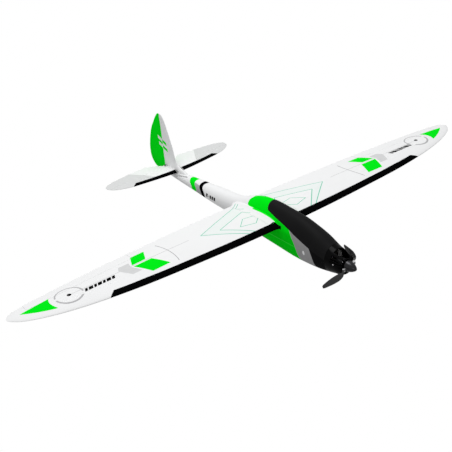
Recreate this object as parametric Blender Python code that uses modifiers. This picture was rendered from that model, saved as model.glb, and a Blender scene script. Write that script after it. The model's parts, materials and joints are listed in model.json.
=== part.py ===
# Electric foam motor glider, 1.6 m span: moulded fuselage halves, lift-off canopy,
# slotted nose cowl with folding propeller, plug-in wing panels on a carbon tube,
# cruciform tail, servos, linkages and flight battery.
#
# Units are metres. World frame: +Z up, nose towards -Y, starboard wing on -X.
# World origin: middle of the belly skid's flat underside.
# The airframe is drawn from a datum at the wing chord plane (z = 0) and just behind
# the wing's leading edge (y = 0). An empty carries the whole airframe from the datum
# to the world origin.
#
# Objects without a material are boolean helpers. Many overrun the surfaces they cut.

import bpy
import bmesh
import numpy as np
from math import copysign, cos, pi, radians, sin, sqrt, tan
from mathutils import Matrix, Vector

# ---------------------------------------------------------------- driving dimensions
NAME = "rc_glider"
SIDES = {"starboard": -1, "port": 1}
FOAM = 0.0052            # wall of the moulded halves
GAP = 0.0003             # clearance between fitted parts

# belly skid
PAD_Y = 0.015            # centre, behind the datum
PAD_Z = -0.0815          # underside, below the chord plane
PAD_SLOPE = 0.0685       # the belly line climbs towards the tail
PAD_HALF_L = 0.095
PAD_HALF_W = 0.014

# wing
HALF_SPAN = 0.800
ROOT_X = 0.0570          # inner face of a wing panel
RIB_X = 0.0548           # inner face of the plastic root rib
THICK_ROOT = 0.095       # airfoil thickness over chord
THICK_TIP = 0.085
CAMBER = 0.020
CAMBER_PLACE = 0.4       # highest camber, as a share of the chord
JOINER_R = 0.0040
JOINER_WALL = 0.001
JOINER_HALF = 0.350
JOINER_Y, JOINER_Z = 0.040, 0.0040
REAR_PIN_R = 0.0020
REAR_PIN_HALF = 0.0895
REAR_PIN_Y, REAR_PIN_Z = 0.128, 0.0022
AIL_IN, AIL_OUT = 0.420, 0.742   # aileron span
AIL_HINGE_IN, AIL_HINGE_OUT = 0.1245, 0.1045

# tail
STAB_Z = -0.0117
STAB_THICK = 0.075       # thickness over chord
FIN_THICK = 0.070
TAIL_TE_GAP = 0.0012     # blunt trailing edge
ELEV_HINGE_Y = 0.5630
FIN_HINGE_Y = 0.5910
ELEV_JOINER_Y = 0.5662
STAB_SCREW_Y = 0.532

# nose
COWL_AFT = -0.2050
COWL_FRONT = -0.2555
COWL_WALL = 0.0018
SHAFT_Z = -0.0376
SHAFT_R = 0.0015
HUB_Y = -0.2620
HUB_ARM = 0.0187         # blade pin, from the shaft's axis
PHASE = radians(11.9)    # the hub's arm leans out of level
PORT_FOLD = radians(66.5)  # the port blade rests folded back

# linkages
PUSHROD_R = 0.0006
LEAF_HALF = 0.0007       # half thickness of servo arm leaves and upright horns

# ---------------------------------------------------------------- clear the scene
for old in list(bpy.data.objects):
    bpy.data.objects.remove(old, do_unlink=True)
parts = bpy.data.collections.new(NAME)
cutters = bpy.data.collections.new("cutters")
for collection in (parts, cutters):
    bpy.context.scene.collection.children.link(collection)

datum = bpy.data.objects.new("airframe_datum", None)
datum.location = (0.0, -PAD_Y, -PAD_Z)
parts.objects.link(datum)


# ---------------------------------------------------------------- materials
def material(name, colour, roughness, metallic=0.0):
    mat = bpy.data.materials.new(name)
    mat.use_nodes = True
    bsdf = mat.node_tree.nodes["Principled BSDF"]
    bsdf.inputs["Base Color"].default_value = (*colour, 1.0)
    bsdf.inputs["Roughness"].default_value = roughness
    bsdf.inputs["Metallic"].default_value = metallic
    mat.diffuse_color = (*colour, 1.0)
    return mat


foam_white = material("foam_white", colour=(0.90, 0.90, 0.90), roughness=0.55)
foam_green = material("foam_green", colour=(0.0, 0.70, 0.03), roughness=0.50)
canopy_black = material("canopy_black", colour=(0.012, 0.012, 0.013), roughness=0.60)
plastic_black = material("plastic_black", colour=(0.010, 0.010, 0.010), roughness=0.28)
plastic_white = material("plastic_white", colour=(0.75, 0.75, 0.75), roughness=0.40)
servo_case = material("servo_case", colour=(0.02, 0.02, 0.025), roughness=0.35)
alloy = material("alloy", colour=(0.70, 0.70, 0.72), roughness=0.30, metallic=1.0)
spinner_grey = material("spinner_grey", colour=(0.07, 0.07, 0.075), roughness=0.30, metallic=0.85)
steel = material("steel", colour=(0.62, 0.62, 0.62), roughness=0.25, metallic=1.0)
carbon = material("carbon", colour=(0.02, 0.02, 0.022), roughness=0.35)
blade_grey = material("blade_grey", colour=(0.035, 0.035, 0.037), roughness=0.45)
birch = material("birch_ply", colour=(0.62, 0.45, 0.27), roughness=0.65)
wrap_blue = material("battery_wrap", colour=(0.03, 0.08, 0.30), roughness=0.35)
shrink_black = material("heat_shrink", colour=(0.015, 0.015, 0.018), roughness=0.45)
strap_black = material("hook_loop", colour=(0.02, 0.02, 0.02), roughness=0.90)
wire_red = material("wire_red", colour=(0.50, 0.02, 0.02), roughness=0.45)
nickel = material("nickel", colour=(0.70, 0.68, 0.64), roughness=0.25, metallic=1.0)


# ---------------------------------------------------------------- object helpers
def place(name, data, mat, location):
    """Object under the datum: a part if it has a material, a cutter if not."""
    obj = bpy.data.objects.new(name, data)
    (parts if mat else cutters).objects.link(obj)
    obj.parent = datum
    obj.location = location
    if mat:
        data.materials.append(mat)
    else:
        obj.hide_render = True
        obj.display_type = "WIRE"
    return obj


def add(name, mesh, mat=None, origin=(0, 0, 0)):
    """Object whose mesh is drawn from the datum and whose origin is moved to a joint's axis."""
    origin = Vector(origin)
    mesh.transform(Matrix.Translation(-origin))
    return place(name, mesh, mat, origin)


def add_bm(name, bm, mat=None, origin=(0, 0, 0)):
    bmesh.ops.recalc_face_normals(bm, faces=bm.faces)
    mesh = bpy.data.meshes.new(name)
    bm.to_mesh(mesh)
    bm.free()
    return add(name, mesh, mat, origin)


def smooth(obj):
    obj.data.shade_smooth()
    obj.data.set_sharp_from_angle(angle=radians(35))


def loft(name, rings, mat=None, origin=(0, 0, 0)):
    """Skin through closed rings of equal length, with both ends capped."""
    bm = bmesh.new()
    rows = [[bm.verts.new(point) for point in ring] for ring in rings]
    count = len(rows[0])
    for row, following in zip(rows, rows[1:]):
        for i in range(count):
            j = (i + 1) % count
            bm.faces.new((row[i], row[j], following[j], following[i]))
    bm.faces.new(rows[0])
    bm.faces.new(rows[-1])
    return add_bm(name, bm, mat, origin)


def prism(name, outline, axis, start, end, mat=None, origin=(0, 0, 0)):
    """Outline in the two other axes, in X, Y, Z order, drawn out along an axis."""
    bm = bmesh.new()
    face = bm.faces.new([bm.verts.new(point[:axis] + (start,) + point[axis:]) for point in outline])
    geom = bmesh.ops.extrude_face_region(bm, geom=[face])["geom"]
    shift = [0, 0, 0]
    shift[axis] = end - start
    far_verts = [item for item in geom if isinstance(item, bmesh.types.BMVert)]
    bmesh.ops.translate(bm, vec=shift, verts=far_verts)
    return add_bm(name, bm, mat, origin)


def box(name, corner, opposite, mat=None, bevel=0.0, segments=2):
    """Box between two opposite corners, given in either order."""
    low = Vector(map(min, corner, opposite))
    high = Vector(map(max, corner, opposite))
    bm = bmesh.new()
    bmesh.ops.create_cube(bm, size=1.0)
    bmesh.ops.scale(bm, vec=high - low, verts=bm.verts)
    bmesh.ops.translate(bm, vec=(low + high) / 2, verts=bm.verts)
    obj = add_bm(name, bm, mat)
    if bevel:
        mod = obj.modifiers.new("rounded_edges", "BEVEL")
        mod.width = bevel
        mod.segments = segments
    return obj


def rod(name, start, end, radius, mat=None, seg=16, end_radius=None, origin=(0, 0, 0)):
    """Cylinder or cone between two points."""
    start, end = Vector(start), Vector(end)
    bm = bmesh.new()
    bmesh.ops.create_cone(bm, cap_ends=True, segments=seg, radius1=radius,
                          radius2=radius if end_radius is None else end_radius,
                          depth=(end - start).length)
    turn = Vector((0, 0, 1)).rotation_difference(end - start).to_matrix().to_4x4()
    move = Matrix.Translation((start + end) / 2) @ turn
    bmesh.ops.transform(bm, matrix=move, verts=bm.verts)
    return add_bm(name, bm, mat, origin)


def wire(name, points, radius, mat, resolution=1):
    """Bent wire: a poly curve with a round bevel and filled caps."""
    curve = bpy.data.curves.new(name, "CURVE")
    curve.dimensions = "3D"
    curve.bevel_depth = radius
    curve.bevel_resolution = resolution
    curve.use_fill_caps = True
    line = curve.splines.new("POLY")
    line.points.add(len(points) - 1)
    for knot, point in zip(line.points, points):
        knot.co = (*point, 1.0)
    place(name, curve, mat, (0, 0, 0))


def boolean(obj, operation, others):
    for other in others:
        mod = obj.modifiers.new(operation.lower() + "_" + other.name, "BOOLEAN")
        mod.object = other
        mod.operation = operation
        mod.solver = "EXACT"
    return obj


def cut(obj, *others):
    return boolean(obj, "DIFFERENCE", others)


def join(obj, *others):
    return boolean(obj, "UNION", others)


def keep(obj, *others):
    return boolean(obj, "INTERSECT", others)


def frozen(obj, name, mat=None, origin=(0, 0, 0)):
    """New object from the evaluated mesh of another whose origin is the datum."""
    bpy.context.view_layer.update()
    graph = bpy.context.evaluated_depsgraph_get()
    mesh = bpy.data.meshes.new_from_object(obj.evaluated_get(graph))
    mesh.materials.clear()
    bm = bmesh.new()
    bm.from_mesh(mesh)
    bmesh.ops.remove_doubles(bm, verts=bm.verts, dist=0.000002)
    bm.to_mesh(mesh)
    bm.free()
    return add(name, mesh, mat, origin)


# ---------------------------------------------------------------- curves and sections
def curve_through(places, values):
    """Monotone cubic through the points: no overshoot between stations."""
    places, values = np.asarray(places, float), np.asarray(values, float)
    steps = np.diff(places)
    slopes = np.diff(values) / steps
    tangents = np.zeros(len(places))
    tangents[0], tangents[-1] = slopes[0], slopes[-1]
    for i in range(1, len(places) - 1):
        before, after = slopes[i - 1], slopes[i]
        if before * after > 0:
            weight_before = 2 * steps[i] + steps[i - 1]
            weight_after = steps[i] + 2 * steps[i - 1]
            tangents[i] = ((weight_before + weight_after)
                           / (weight_before / before + weight_after / after))

    def value(x):
        x = min(max(x, places[0]), places[-1])
        i = min(int(np.searchsorted(places, x, side="right")) - 1, len(places) - 2)
        t = (x - places[i]) / steps[i]
        return float((1 + 2 * t) * (1 - t) ** 2 * values[i]
                     + t * (1 - t) ** 2 * steps[i] * tangents[i]
                     + t * t * (3 - 2 * t) * values[i + 1]
                     + t * t * (t - 1) * steps[i] * tangents[i + 1])
    return value


def column_curves(table):
    """One curve for each further column of a table, over its first column."""
    first, *others = zip(*table)
    return [curve_through(first, column) for column in others]


# fuselage: station y, centre z, half height, half width, roundness of the lower half
BODY = [
    (-0.2600, -0.0376, 0.0200, 0.0200, 2.00),
    (-0.2545, -0.0376, 0.0268, 0.0268, 2.00),
    (-0.2450, -0.0380, 0.0308, 0.0304, 2.03),
    (-0.2320, -0.0362, 0.0340, 0.0326, 2.08),
    (-0.2180, -0.0362, 0.0368, 0.0339, 2.13),
    (-0.2050, -0.0355, 0.0398, 0.0347, 2.18),
    (-0.1900, -0.0333, 0.0442, 0.0363, 2.26),
    (-0.1650, -0.0292, 0.0512, 0.0382, 2.40),
    (-0.1250, -0.0247, 0.0588, 0.0390, 2.50),
    (-0.0800, -0.0209, 0.0646, 0.0390, 2.50),
    (-0.0300, -0.0181, 0.0660, 0.0378, 2.50),
    (0.0200, -0.0150, 0.0658, 0.0368, 2.50),
    (0.0700, -0.0143, 0.0621, 0.0347, 2.50),
    (0.1200, -0.0185, 0.0530, 0.0308, 2.40),
    (0.1700, -0.0252, 0.0412, 0.0275, 2.25),
    (0.2200, -0.0282, 0.0342, 0.0272, 2.10),
    (0.3000, -0.0281, 0.0286, 0.0267, 2.00),
    (0.4000, -0.0289, 0.0211, 0.0205, 2.00),
    (0.5000, -0.0291, 0.0150, 0.0144, 2.00),
    (0.5450, -0.0287, 0.0122, 0.0116, 2.00),
    (0.5620, -0.0265, 0.0108, 0.0098, 2.00),
    (0.5760, -0.0222, 0.0086, 0.0076, 2.00),
    (0.5885, -0.0165, 0.0058, 0.0050, 2.00),
]
body_z, body_half_h, body_half_w, body_round = column_curves(BODY)


def body_ring(y, count, inset=0.0):
    """Fuselage section: an ellipse above, a superellipse below."""
    centre_z = body_z(y)
    half_h, half_w = body_half_h(y) - inset, body_half_w(y) - inset
    ring = []
    for k in range(count):
        angle = 2 * pi * (k + 0.5) / count
        c, s = cos(angle), sin(angle)
        power = 2 / (2.0 if s > 0 else body_round(y))
        ring.append((half_w * np.sign(c) * abs(c) ** power, y,
                     centre_z + half_h * np.sign(s) * abs(s) ** power))
    return ring


def shaft_ring(y, radius, count):
    """Circle about the motor shaft, its points lined up with those of body_ring."""
    angles = [2 * pi * (k + 0.5) / count for k in range(count)]
    return [(radius * cos(a), y, SHAFT_Z + radius * sin(a)) for a in angles]


def airfoil(le, te, thick, camber, count, te_gap=0.0014):
    """Closed section as (y, z) pairs, from leading edge le to trailing edge te: upper side
    from the trailing to the leading edge, then the lower side. Four-digit NACA polynomials,
    with the trailing edge opened to te_gap."""
    chord = te - le
    gap = min(te_gap, 0.03 * chord) / chord
    p = CAMBER_PLACE
    upper, lower = [], []
    for k in range(count + 1):
        x = 0.5 * (1 - cos(pi * k / count))
        half = 5 * thick * (0.2969 * sqrt(x) - 0.1260 * x - 0.3516 * x ** 2
                            + 0.2843 * x ** 3 - 0.1036 * x ** 4)
        half += 0.5 * gap * x
        if x < p:
            middle = camber / p ** 2 * (2 * p * x - x * x)
        else:
            middle = camber / (1 - p) ** 2 * ((1 - 2 * p) + 2 * p * x - x * x)
        upper.append((le + x * chord, (middle + half) * chord))
        lower.append((le + x * chord, (middle - half) * chord))
    return upper[::-1] + lower[1:]


WING = [  # span station, leading edge, trailing edge
    (0.000, -0.0272, 0.1740), (0.150, -0.0240, 0.1711), (0.300, -0.0167, 0.1666),
    (0.450, -0.0068, 0.1602), (0.580, 0.0103, 0.1510), (0.680, 0.0328, 0.1420),
    (0.736, 0.0530, 0.1352), (0.759, 0.0640, 0.1310), (0.776, 0.0748, 0.1265),
    (0.790, 0.0878, 0.1195), (0.7965, 0.0960, 0.1130), (0.7995, 0.1015, 0.1075),
]
wing_le, wing_te = column_curves(WING)


def wing_thick(x):
    return THICK_ROOT + (THICK_TIP - THICK_ROOT) * x / HALF_SPAN


def wing_section(x, count):
    return airfoil(wing_le(x), wing_te(x), wing_thick(x), CAMBER, count)


def wing_ring(x, side):
    return [(side * x, y, z) for y, z in wing_section(x, 12)]


def wing_top(x, y):
    section = wing_section(x, 24)[:25][::-1]
    return float(np.interp(y, *zip(*section)))


def wing_bottom(x, y):
    section = wing_section(x, 24)[24:]
    return float(np.interp(y, *zip(*section)))


# ---------------------------------------------------------------- rods on shared axes
def joiner_rod(name, x_start, x_end, radius, mat=None):
    """Along the wing joiner's axis."""
    return rod(name, (x_start, JOINER_Y, JOINER_Z), (x_end, JOINER_Y, JOINER_Z), radius, mat, 20)


def rear_pin_rod(name, x_start, x_end, radius, mat=None, seg=12):
    """Along the wing's rear pin."""
    return rod(name, (x_start, REAR_PIN_Y, REAR_PIN_Z), (x_end, REAR_PIN_Y, REAR_PIN_Z), radius,
               mat, seg)


def stab_screw_rod(name, z_start, z_end, radius, mat=None, seg=12):
    """Along the stabiliser's screw."""
    return rod(name, (0, STAB_SCREW_Y, z_start), (0, STAB_SCREW_Y, z_end), radius, mat, seg)


def shaft_rod(name, y_start, y_end, radius, mat=None, seg=16):
    """Along the motor shaft."""
    return rod(name, (0, y_start, SHAFT_Z), (0, y_end, SHAFT_Z), radius, mat, seg)


# ================================================================ fuselage
AFT_STATIONS = [
    COWL_AFT + GAP, -0.190, -0.165, -0.145, -0.125, -0.100, -0.075, -0.045, -0.015, 0.015, 0.045,
    0.075, 0.100, 0.125, 0.150, 0.180, 0.220, 0.300, 0.400, 0.500, 0.545, 0.562, 0.576, 0.5885]
INNER_STATIONS = [COWL_AFT - 0.010, -0.190, -0.165, -0.125, -0.080, -0.030, 0.020, 0.070, 0.110,
                  0.150, 0.220, 0.300, 0.400, 0.480]
outer = loft("fuselage_outer", [body_ring(y, 36) for y in AFT_STATIONS])
inner = loft("fuselage_hollow", [body_ring(y, 28, FOAM) for y in INNER_STATIONS])

# wing-root fairings, moulded with the fuselage: the section swells into a fillet,
# most of all underneath
FAIR_SWELL_X = 0.0335    # the fillet is fullest from here inwards
FAIR_X = [0.010, 0.033, 0.0355, 0.0385, 0.0420, 0.0460, 0.0505, RIB_X - GAP]


def fairing_ring(x, side):
    share = min(max((x - FAIR_SWELL_X) / (RIB_X - FAIR_SWELL_X), 0.0), 1.0)
    swell = (1 - share) ** 2
    upper, lower = 1 + 0.45 * swell, 1 + 1.9 * swell
    section = airfoil(wing_le(x) - 0.003 * swell, wing_te(x) + 0.012 * swell, wing_thick(x),
                      CAMBER, 12)
    return [(side * x, y, z * (upper if z > 0 else lower)) for y, z in section]


fairings = [loft("wing_root_fairing_" + side_name, [fairing_ring(x, side) for x in FAIR_X])
            for side_name, side in SIDES.items()]

# fin and rudder as one form, cut apart at the hinge line
FIN = [  # z, leading edge y, trailing edge y
    (-0.0380, 0.4400, 0.6200), (-0.0355, 0.4420, 0.6340), (-0.0330, 0.4440, 0.6440),
    (-0.0260, 0.4480, 0.6530), (-0.0160, 0.4560, 0.6620), (-0.0060, 0.4780, 0.6670),
    (0.0030, 0.5060, 0.6690), (0.0120, 0.5190, 0.6695), (0.0250, 0.5250, 0.6690),
    (0.0570, 0.5320, 0.6620), (0.0860, 0.5420, 0.6520), (0.1080, 0.5495, 0.6410),
    (0.1280, 0.5570, 0.6270), (0.1440, 0.5640, 0.6160), (0.1540, 0.5700, 0.6075),
    (0.1600, 0.5760, 0.6015), (0.1630, 0.5815, 0.5975),
]
FOOT_TOP = -0.020        # the fin is thinned below this height
FIN_AFT = FIN_HINGE_Y - 0.0006


def fin_taper(z):
    """Share of the full thickness at a height: less towards the rudder's rounded foot."""
    return 1.0 if z > FOOT_TOP else max(0.35, 1 - (abs(z) + FOOT_TOP) * 25)


def fin_ring(z, le, te):
    section = airfoil(le, te, FIN_THICK, 0.0, 10, TAIL_TE_GAP)
    return [(x * fin_taper(z), y, z) for y, x in section]


fin_form = loft("fin_form", [fin_ring(*row) for row in FIN])
fin_region = prism("fin_region", [(0.430, -0.030), (FIN_AFT, -0.0130), (FIN_AFT, 0.170),
                                  (0.430, 0.170)], 0, -0.03, 0.03)
fin_body = frozen(keep(frozen(fin_form, "fin_solid"), fin_region), "fin_body")

# canopy opening: everything above the parting line and inside a rounded outline
PART_LINE = [  # y, z
    (-0.2300, -0.0362), (-0.1480, -0.0156), (-0.1180, -0.0070), (-0.0935, 0.0000),
    (-0.0671, 0.0088), (-0.0381, 0.0158), (-0.0085, 0.0222), (0.0206, 0.0292), (0.0500, 0.0355)]
ARCH_Y = 0.0055          # where the outline's rounded aft end begins
ARCH_LENGTH, ARCH_HALF_W = 0.0330, 0.0300
ARCH_ROUND = 3.5         # superellipse exponent
CANOPY_SIDE_X = 0.060


def canopy_region(name, inset):
    """inset > 0 draws the region in on every side."""
    line = [(y, z + inset * 1.05) for y, z in PART_LINE]
    front = COWL_AFT + GAP + inset if inset > 0 else COWL_AFT - 0.02
    first_y, first_z = line[0]
    line[0] = (front, first_z + (front - first_y) * 0.25)
    region = prism(name, line + [(0.0500, 0.09), (front, 0.09)], 0, -0.06, 0.06)
    power = 2 / ARCH_ROUND
    arch = []
    for k in range(17):
        angle = radians(-90 + 11.25 * k)
        c, s = cos(angle), sin(angle)
        arch.append(((ARCH_HALF_W - inset) * copysign(abs(s) ** power, s),
                     ARCH_Y + (ARCH_LENGTH - inset) * c ** power))
    outline = [(-CANOPY_SIDE_X, -0.30), (-CANOPY_SIDE_X, -0.012), *arch,
               (CANOPY_SIDE_X, -0.012), (CANOPY_SIDE_X, -0.30)]
    return keep(region, prism(name + "_outline", outline, 2, -0.08, 0.10))


opening = canopy_region("canopy_opening", 0.0)
lid = canopy_region("canopy_lid_region", 0.00035)

# stabiliser form, used for the slot too
STAB = [  # half span station, leading edge, trailing edge
    (0.000, 0.5032, 0.6160), (0.020, 0.5042, 0.6155), (0.064, 0.5082, 0.6140),
    (0.130, 0.5167, 0.6090), (0.158, 0.5210, 0.6052), (0.190, 0.5304, 0.6000),
    (0.209, 0.5391, 0.5950), (0.222, 0.5492, 0.5890), (0.229, 0.5577, 0.5845),
    (0.2325, 0.5650, 0.5800),
]
stab_le, stab_te = column_curves(STAB)
STAB_STATIONS = [0.000, 0.020, 0.064, 0.110, 0.158, 0.190, 0.209, 0.222, 0.229, 0.2325]


def stab_ring(x, grow=0.0):
    section = airfoil(stab_le(abs(x)) - grow, stab_te(abs(x)) + grow, STAB_THICK, 0.0, 10,
                      TAIL_TE_GAP)
    stretch = 1 + grow / 0.0040
    return [(x, y, STAB_Z + z * stretch) for y, z in section]


stab_form = loft("stabiliser_form", [stab_ring(x) for x in
                                     [-x for x in STAB_STATIONS[:0:-1]] + STAB_STATIONS])
slot_form = loft("stabiliser_slot_form", [stab_ring(x, 0.0004) for x in (-0.03, 0.0, 0.03)])
slot_end = box("stabiliser_slot_end", (-0.04, 0.49, -0.05), (0.04, 0.5605, 0.03))
stab_slot = frozen(keep(slot_form, slot_end), "stabiliser_slot")

joiner_slot = box("elevator_joiner_slot", (-0.03, ELEV_JOINER_Y - 0.0022, STAB_Z - 0.0034),
                  (0.03, ELEV_JOINER_Y + 0.0021, STAB_Z + 0.0034))
joiner_hole = joiner_rod("joiner_hole", -0.10, 0.10, JOINER_R + GAP)
rear_hole = rear_pin_rod("rear_pin_hole", -0.10, 0.10, REAR_PIN_R + GAP)
exit_slots = [box("pushrod_exit_" + side_name, (side * 0.0075, 0.452, -0.028),
                  (side * 0.0140, 0.5040, -0.008)) for side_name, side in SIDES.items()]
stab_screw_hole = stab_screw_rod("stabiliser_screw_hole", -0.0450, -0.0150, 0.0019)
stab_screw_pocket = stab_screw_rod("stabiliser_screw_pocket", -0.0480, -0.0340, 0.0036, seg=14)

join(outer, *fairings, fin_body)
cut(outer, inner, opening, stab_slot, joiner_slot, joiner_hole, rear_hole, *exit_slots,
    stab_screw_hole, stab_screw_pocket)
shell = frozen(outer, "fuselage_shell")

# the shell parts at the middle into two halves
SEAM = 0.00015           # each half stops this short of the middle
for side_name, side in SIDES.items():
    half_region = box("half_" + side_name, (SEAM * side, -0.4, -0.2), (0.09 * side, 0.8, 0.3))
    half = frozen(shell, "fuselage_half_" + side_name, foam_white)
    smooth(keep(half, half_region))

# canopy hatch: the same skin, above the parting line
hatch = loft("canopy_hatch", [body_ring(y, 36) for y in AFT_STATIONS[:12]], canopy_black)
cut(hatch, inner)
keep(hatch, lid)
smooth(hatch)


# belly skid: flat underside along the belly line, its top follows the belly
def skid_ring(y, half_w):
    low = PAD_Z + PAD_SLOPE * (y - PAD_Y)
    power = body_round(y)
    ring = [(-half_w, y, low), (half_w, y, low)]
    for k in range(9):
        x = half_w - 2 * half_w * k / 8
        belly = body_z(y) - body_half_h(y) * (1 - (abs(x) / body_half_w(y)) ** power) ** (1 / power)
        ring.append((x, y, max(belly - 2 * GAP, low + 0.0004)))
    return ring


skid_stations = np.linspace(PAD_Y - PAD_HALF_L, PAD_Y + PAD_HALF_L, 9)
loft("belly_skid", [skid_ring(float(y), PAD_HALF_W * (0.72 if k in (0, 8) else 1.0))
                    for k, y in enumerate(skid_stations)], plastic_black)

# tail skid: small wear plate under the boom's end
TAIL_SKID = [  # y, half width at the top, underside z
    (0.528, 0.0012, -0.0436), (0.536, 0.0018, -0.0442), (0.548, 0.0018, -0.0440),
    (0.556, 0.0012, -0.0415)]


def tail_skid_ring(y, half_w, low):
    top = body_z(y) - body_half_h(y) - GAP - 0.0002
    return [(half_w, y, top), (-half_w, y, top), (-half_w * 0.6, y, low), (half_w * 0.6, y, low)]


loft("tail_skid", [tail_skid_ring(*row) for row in TAIL_SKID], plastic_black)

# ================================================================ nose cowl
COWL_STATIONS = [COWL_AFT, -0.2130, -0.2220, -0.2320, -0.2400, -0.2470, -0.2515]
COWL_FACE = [(-0.2540, 0.0258), (COWL_FRONT, 0.0212)]  # y, radius about the shaft
HOLLOW_FACE = [(-0.2470, 0.0278), (-0.2512, 0.0240), (-0.2533, 0.0205)]  # y, radius

cowl = loft("nose_cowl", [body_ring(y, 40) for y in COWL_STATIONS]
            + [shaft_ring(y, radius, 40) for y, radius in COWL_FACE], plastic_black)
# the hollow's first ring is the cowl's aft section, carried out past the open end
hollow_aft = [(x, COWL_AFT + 0.010, z) for x, y, z in body_ring(COWL_AFT, 32, COWL_WALL)]
cut(cowl, loft("cowl_hollow", [hollow_aft]
               + [body_ring(y, 32, COWL_WALL) for y in COWL_STATIONS[1:5]]
               + [shaft_ring(y, radius, 32) for y, radius in HOLLOW_FACE]))

# cooling slots: degrees about the shaft, counted from port (+X) over the top
SLOT_R_IN, SLOT_R_OUT = 0.0192, 0.055
SLOT_FRONT, SLOT_AFT = -0.262, -0.2228
TOP_SLOT = (62, 118)
SIDE_SLOTS = [(131, 139), (144.5, 152), (157, 163)]


def cooling_slot(name, start, end):
    """Ring sector about the shaft between two angles."""
    steps = max(2, int(abs(end - start) / 12) + 1)
    angles = [radians(start + (end - start) * k / steps) for k in range(steps + 1)]
    outline = [(SLOT_R_IN * cos(a), SHAFT_Z + SLOT_R_IN * sin(a)) for a in angles]
    outline += [(SLOT_R_OUT * cos(a), SHAFT_Z + SLOT_R_OUT * sin(a)) for a in reversed(angles)]
    return prism(name, outline, 1, SLOT_FRONT, SLOT_AFT)


slots = [TOP_SLOT] + SIDE_SLOTS + [(180 - end, 180 - start) for start, end in SIDE_SLOTS]
for k, (start, end) in enumerate(slots):
    cut(cowl, cooling_slot("cooling_slot_%d" % k, start, end))
cut(cowl, shaft_rod("cowl_shaft_hole", -0.262, -0.248, 0.0052, seg=20))

# two screws hold the cowl, one on each flank, below the side slots
SCREW_Y, SCREW_ANGLE, SCREW_SEAT_R = -0.2361, radians(168), 0.0322
for side_name, side in SIDES.items():
    across, up = -cos(SCREW_ANGLE) * side, sin(SCREW_ANGLE)
    seat = Vector((across * SCREW_SEAT_R, SCREW_Y, SHAFT_Z + up * SCREW_SEAT_R))
    out = Vector((across, -0.10, up)).normalized()
    cut(cowl, rod("cowl_screw_hole_" + side_name, seat - out * 0.006, seat + out * 0.004, 0.0012,
                  seg=10))
    head = rod("cowl_screw_" + side_name, seat + out * 0.0007, seat + out * 0.0021, 0.0021,
               steel, seg=14, end_radius=0.0014)
    join(head, rod("cowl_screw_shank_" + side_name, seat - out * 0.0050, seat + out * 0.0009,
                   0.0009, seg=10))
smooth(cowl)

# ================================================================ motor, shaft, propeller
AXIS = (0, HUB_Y, SHAFT_Z)


def turned(name, profile, mat, steps):
    """Profile of (radius, y) pairs turned about the shaft, closed on the axis at both ends."""
    mesh = bpy.data.meshes.new(name)
    points = [(radius, y - HUB_Y, 0.0) for radius, y in profile]
    mesh.from_pydata(points, [(i, i + 1) for i in range(len(points) - 1)], [])
    obj = place(name, mesh, mat, AXIS)
    mod = obj.modifiers.new("turn", "SCREW")
    mod.axis = "Y"
    mod.steps = steps
    mod.render_steps = steps
    mod.use_merge_vertices = True
    mod.merge_threshold = 0.00001
    mod.use_smooth_shade = True
    return obj


# the stator's front plate sits behind the cowl's face; the can turns behind it
# profiles: radius, y
STATOR = [(0.0, -0.2285), (0.0040, -0.2285), (0.0108, -0.2290), (0.0108, -0.2430),
          (0.0060, -0.2440), (0.0060, -0.2485), (0.0115, -0.2497), (0.0115, -0.2532),
          (0.0, -0.2532)]
CAN = [(0.0, -0.2205), (0.0090, -0.2205), (0.0138, -0.2225), (0.0138, -0.2450),
       (0.0118, -0.2450), (0.0118, -0.2265), (0.0, -0.2265)]
cut(turned("motor_stator", STATOR, alloy, 24), shaft_rod("stator_bore", -0.256, -0.225, 0.0017))
cut(turned("motor_can", CAN, plastic_black, 28),
    shaft_rod("can_bore", -0.230, -0.219, SHAFT_R + GAP))
shaft_rod("motor_shaft", -0.2690, -0.2250, SHAFT_R, steel)

# hub yoke: a collet on the shaft, and an arm with a forked ear at each end
ARM = Vector((cos(PHASE), 0, sin(PHASE)))      # towards the port blade's pin
UP = Vector((-sin(PHASE), 0, cos(PHASE)))      # fold axis
FWD = Vector((0, -1, 0))
HUB = Vector(AXIS)
PINS = {"port": HUB + ARM * HUB_ARM, "starboard": HUB - ARM * HUB_ARM}
BLADE_PIN_R = 0.0008
PIN_HOLE_R = 0.00085


def hub_block(name, centre, size):
    """Block with its sides along the arm, the shaft and the fold axis."""
    bm = bmesh.new()
    bmesh.ops.create_cube(bm, size=1.0)
    bmesh.ops.scale(bm, vec=size, verts=bm.verts)
    rotation = Matrix((ARM, FWD, UP)).transposed().to_4x4()
    bmesh.ops.transform(bm, matrix=Matrix.Translation(centre) @ rotation, verts=bm.verts)
    return add_bm(name, bm)


def fold_rod(name, pin, half, radius, mat=None, seg=12):
    """Rod centred on a blade's pin, along the fold axis."""
    return rod(name, pin - UP * half, pin + UP * half, radius, mat, seg)


yoke = shaft_rod("hub_yoke", -0.2680, -0.2572, 0.0056, alloy, 20)
join(yoke, hub_block("hub_bar", HUB, (0.0320, 0.0066, 0.0066)))
for side_name, pin in PINS.items():
    join(yoke, fold_rod("hub_ear_" + side_name, pin, 0.0037, 0.0042, seg=18))
for side_name, pin in PINS.items():
    fork_centre = pin + ARM * SIDES[side_name] * 0.0012
    cut(yoke, hub_block("hub_fork_" + side_name, fork_centre, (0.0138, 0.0150, 0.0038)),
        fold_rod("hub_pin_hole_" + side_name, pin, 0.006, PIN_HOLE_R))
cut(yoke, shaft_rod("collet_bore", -0.275, -0.250, SHAFT_R + GAP))
smooth(yoke)

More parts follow.
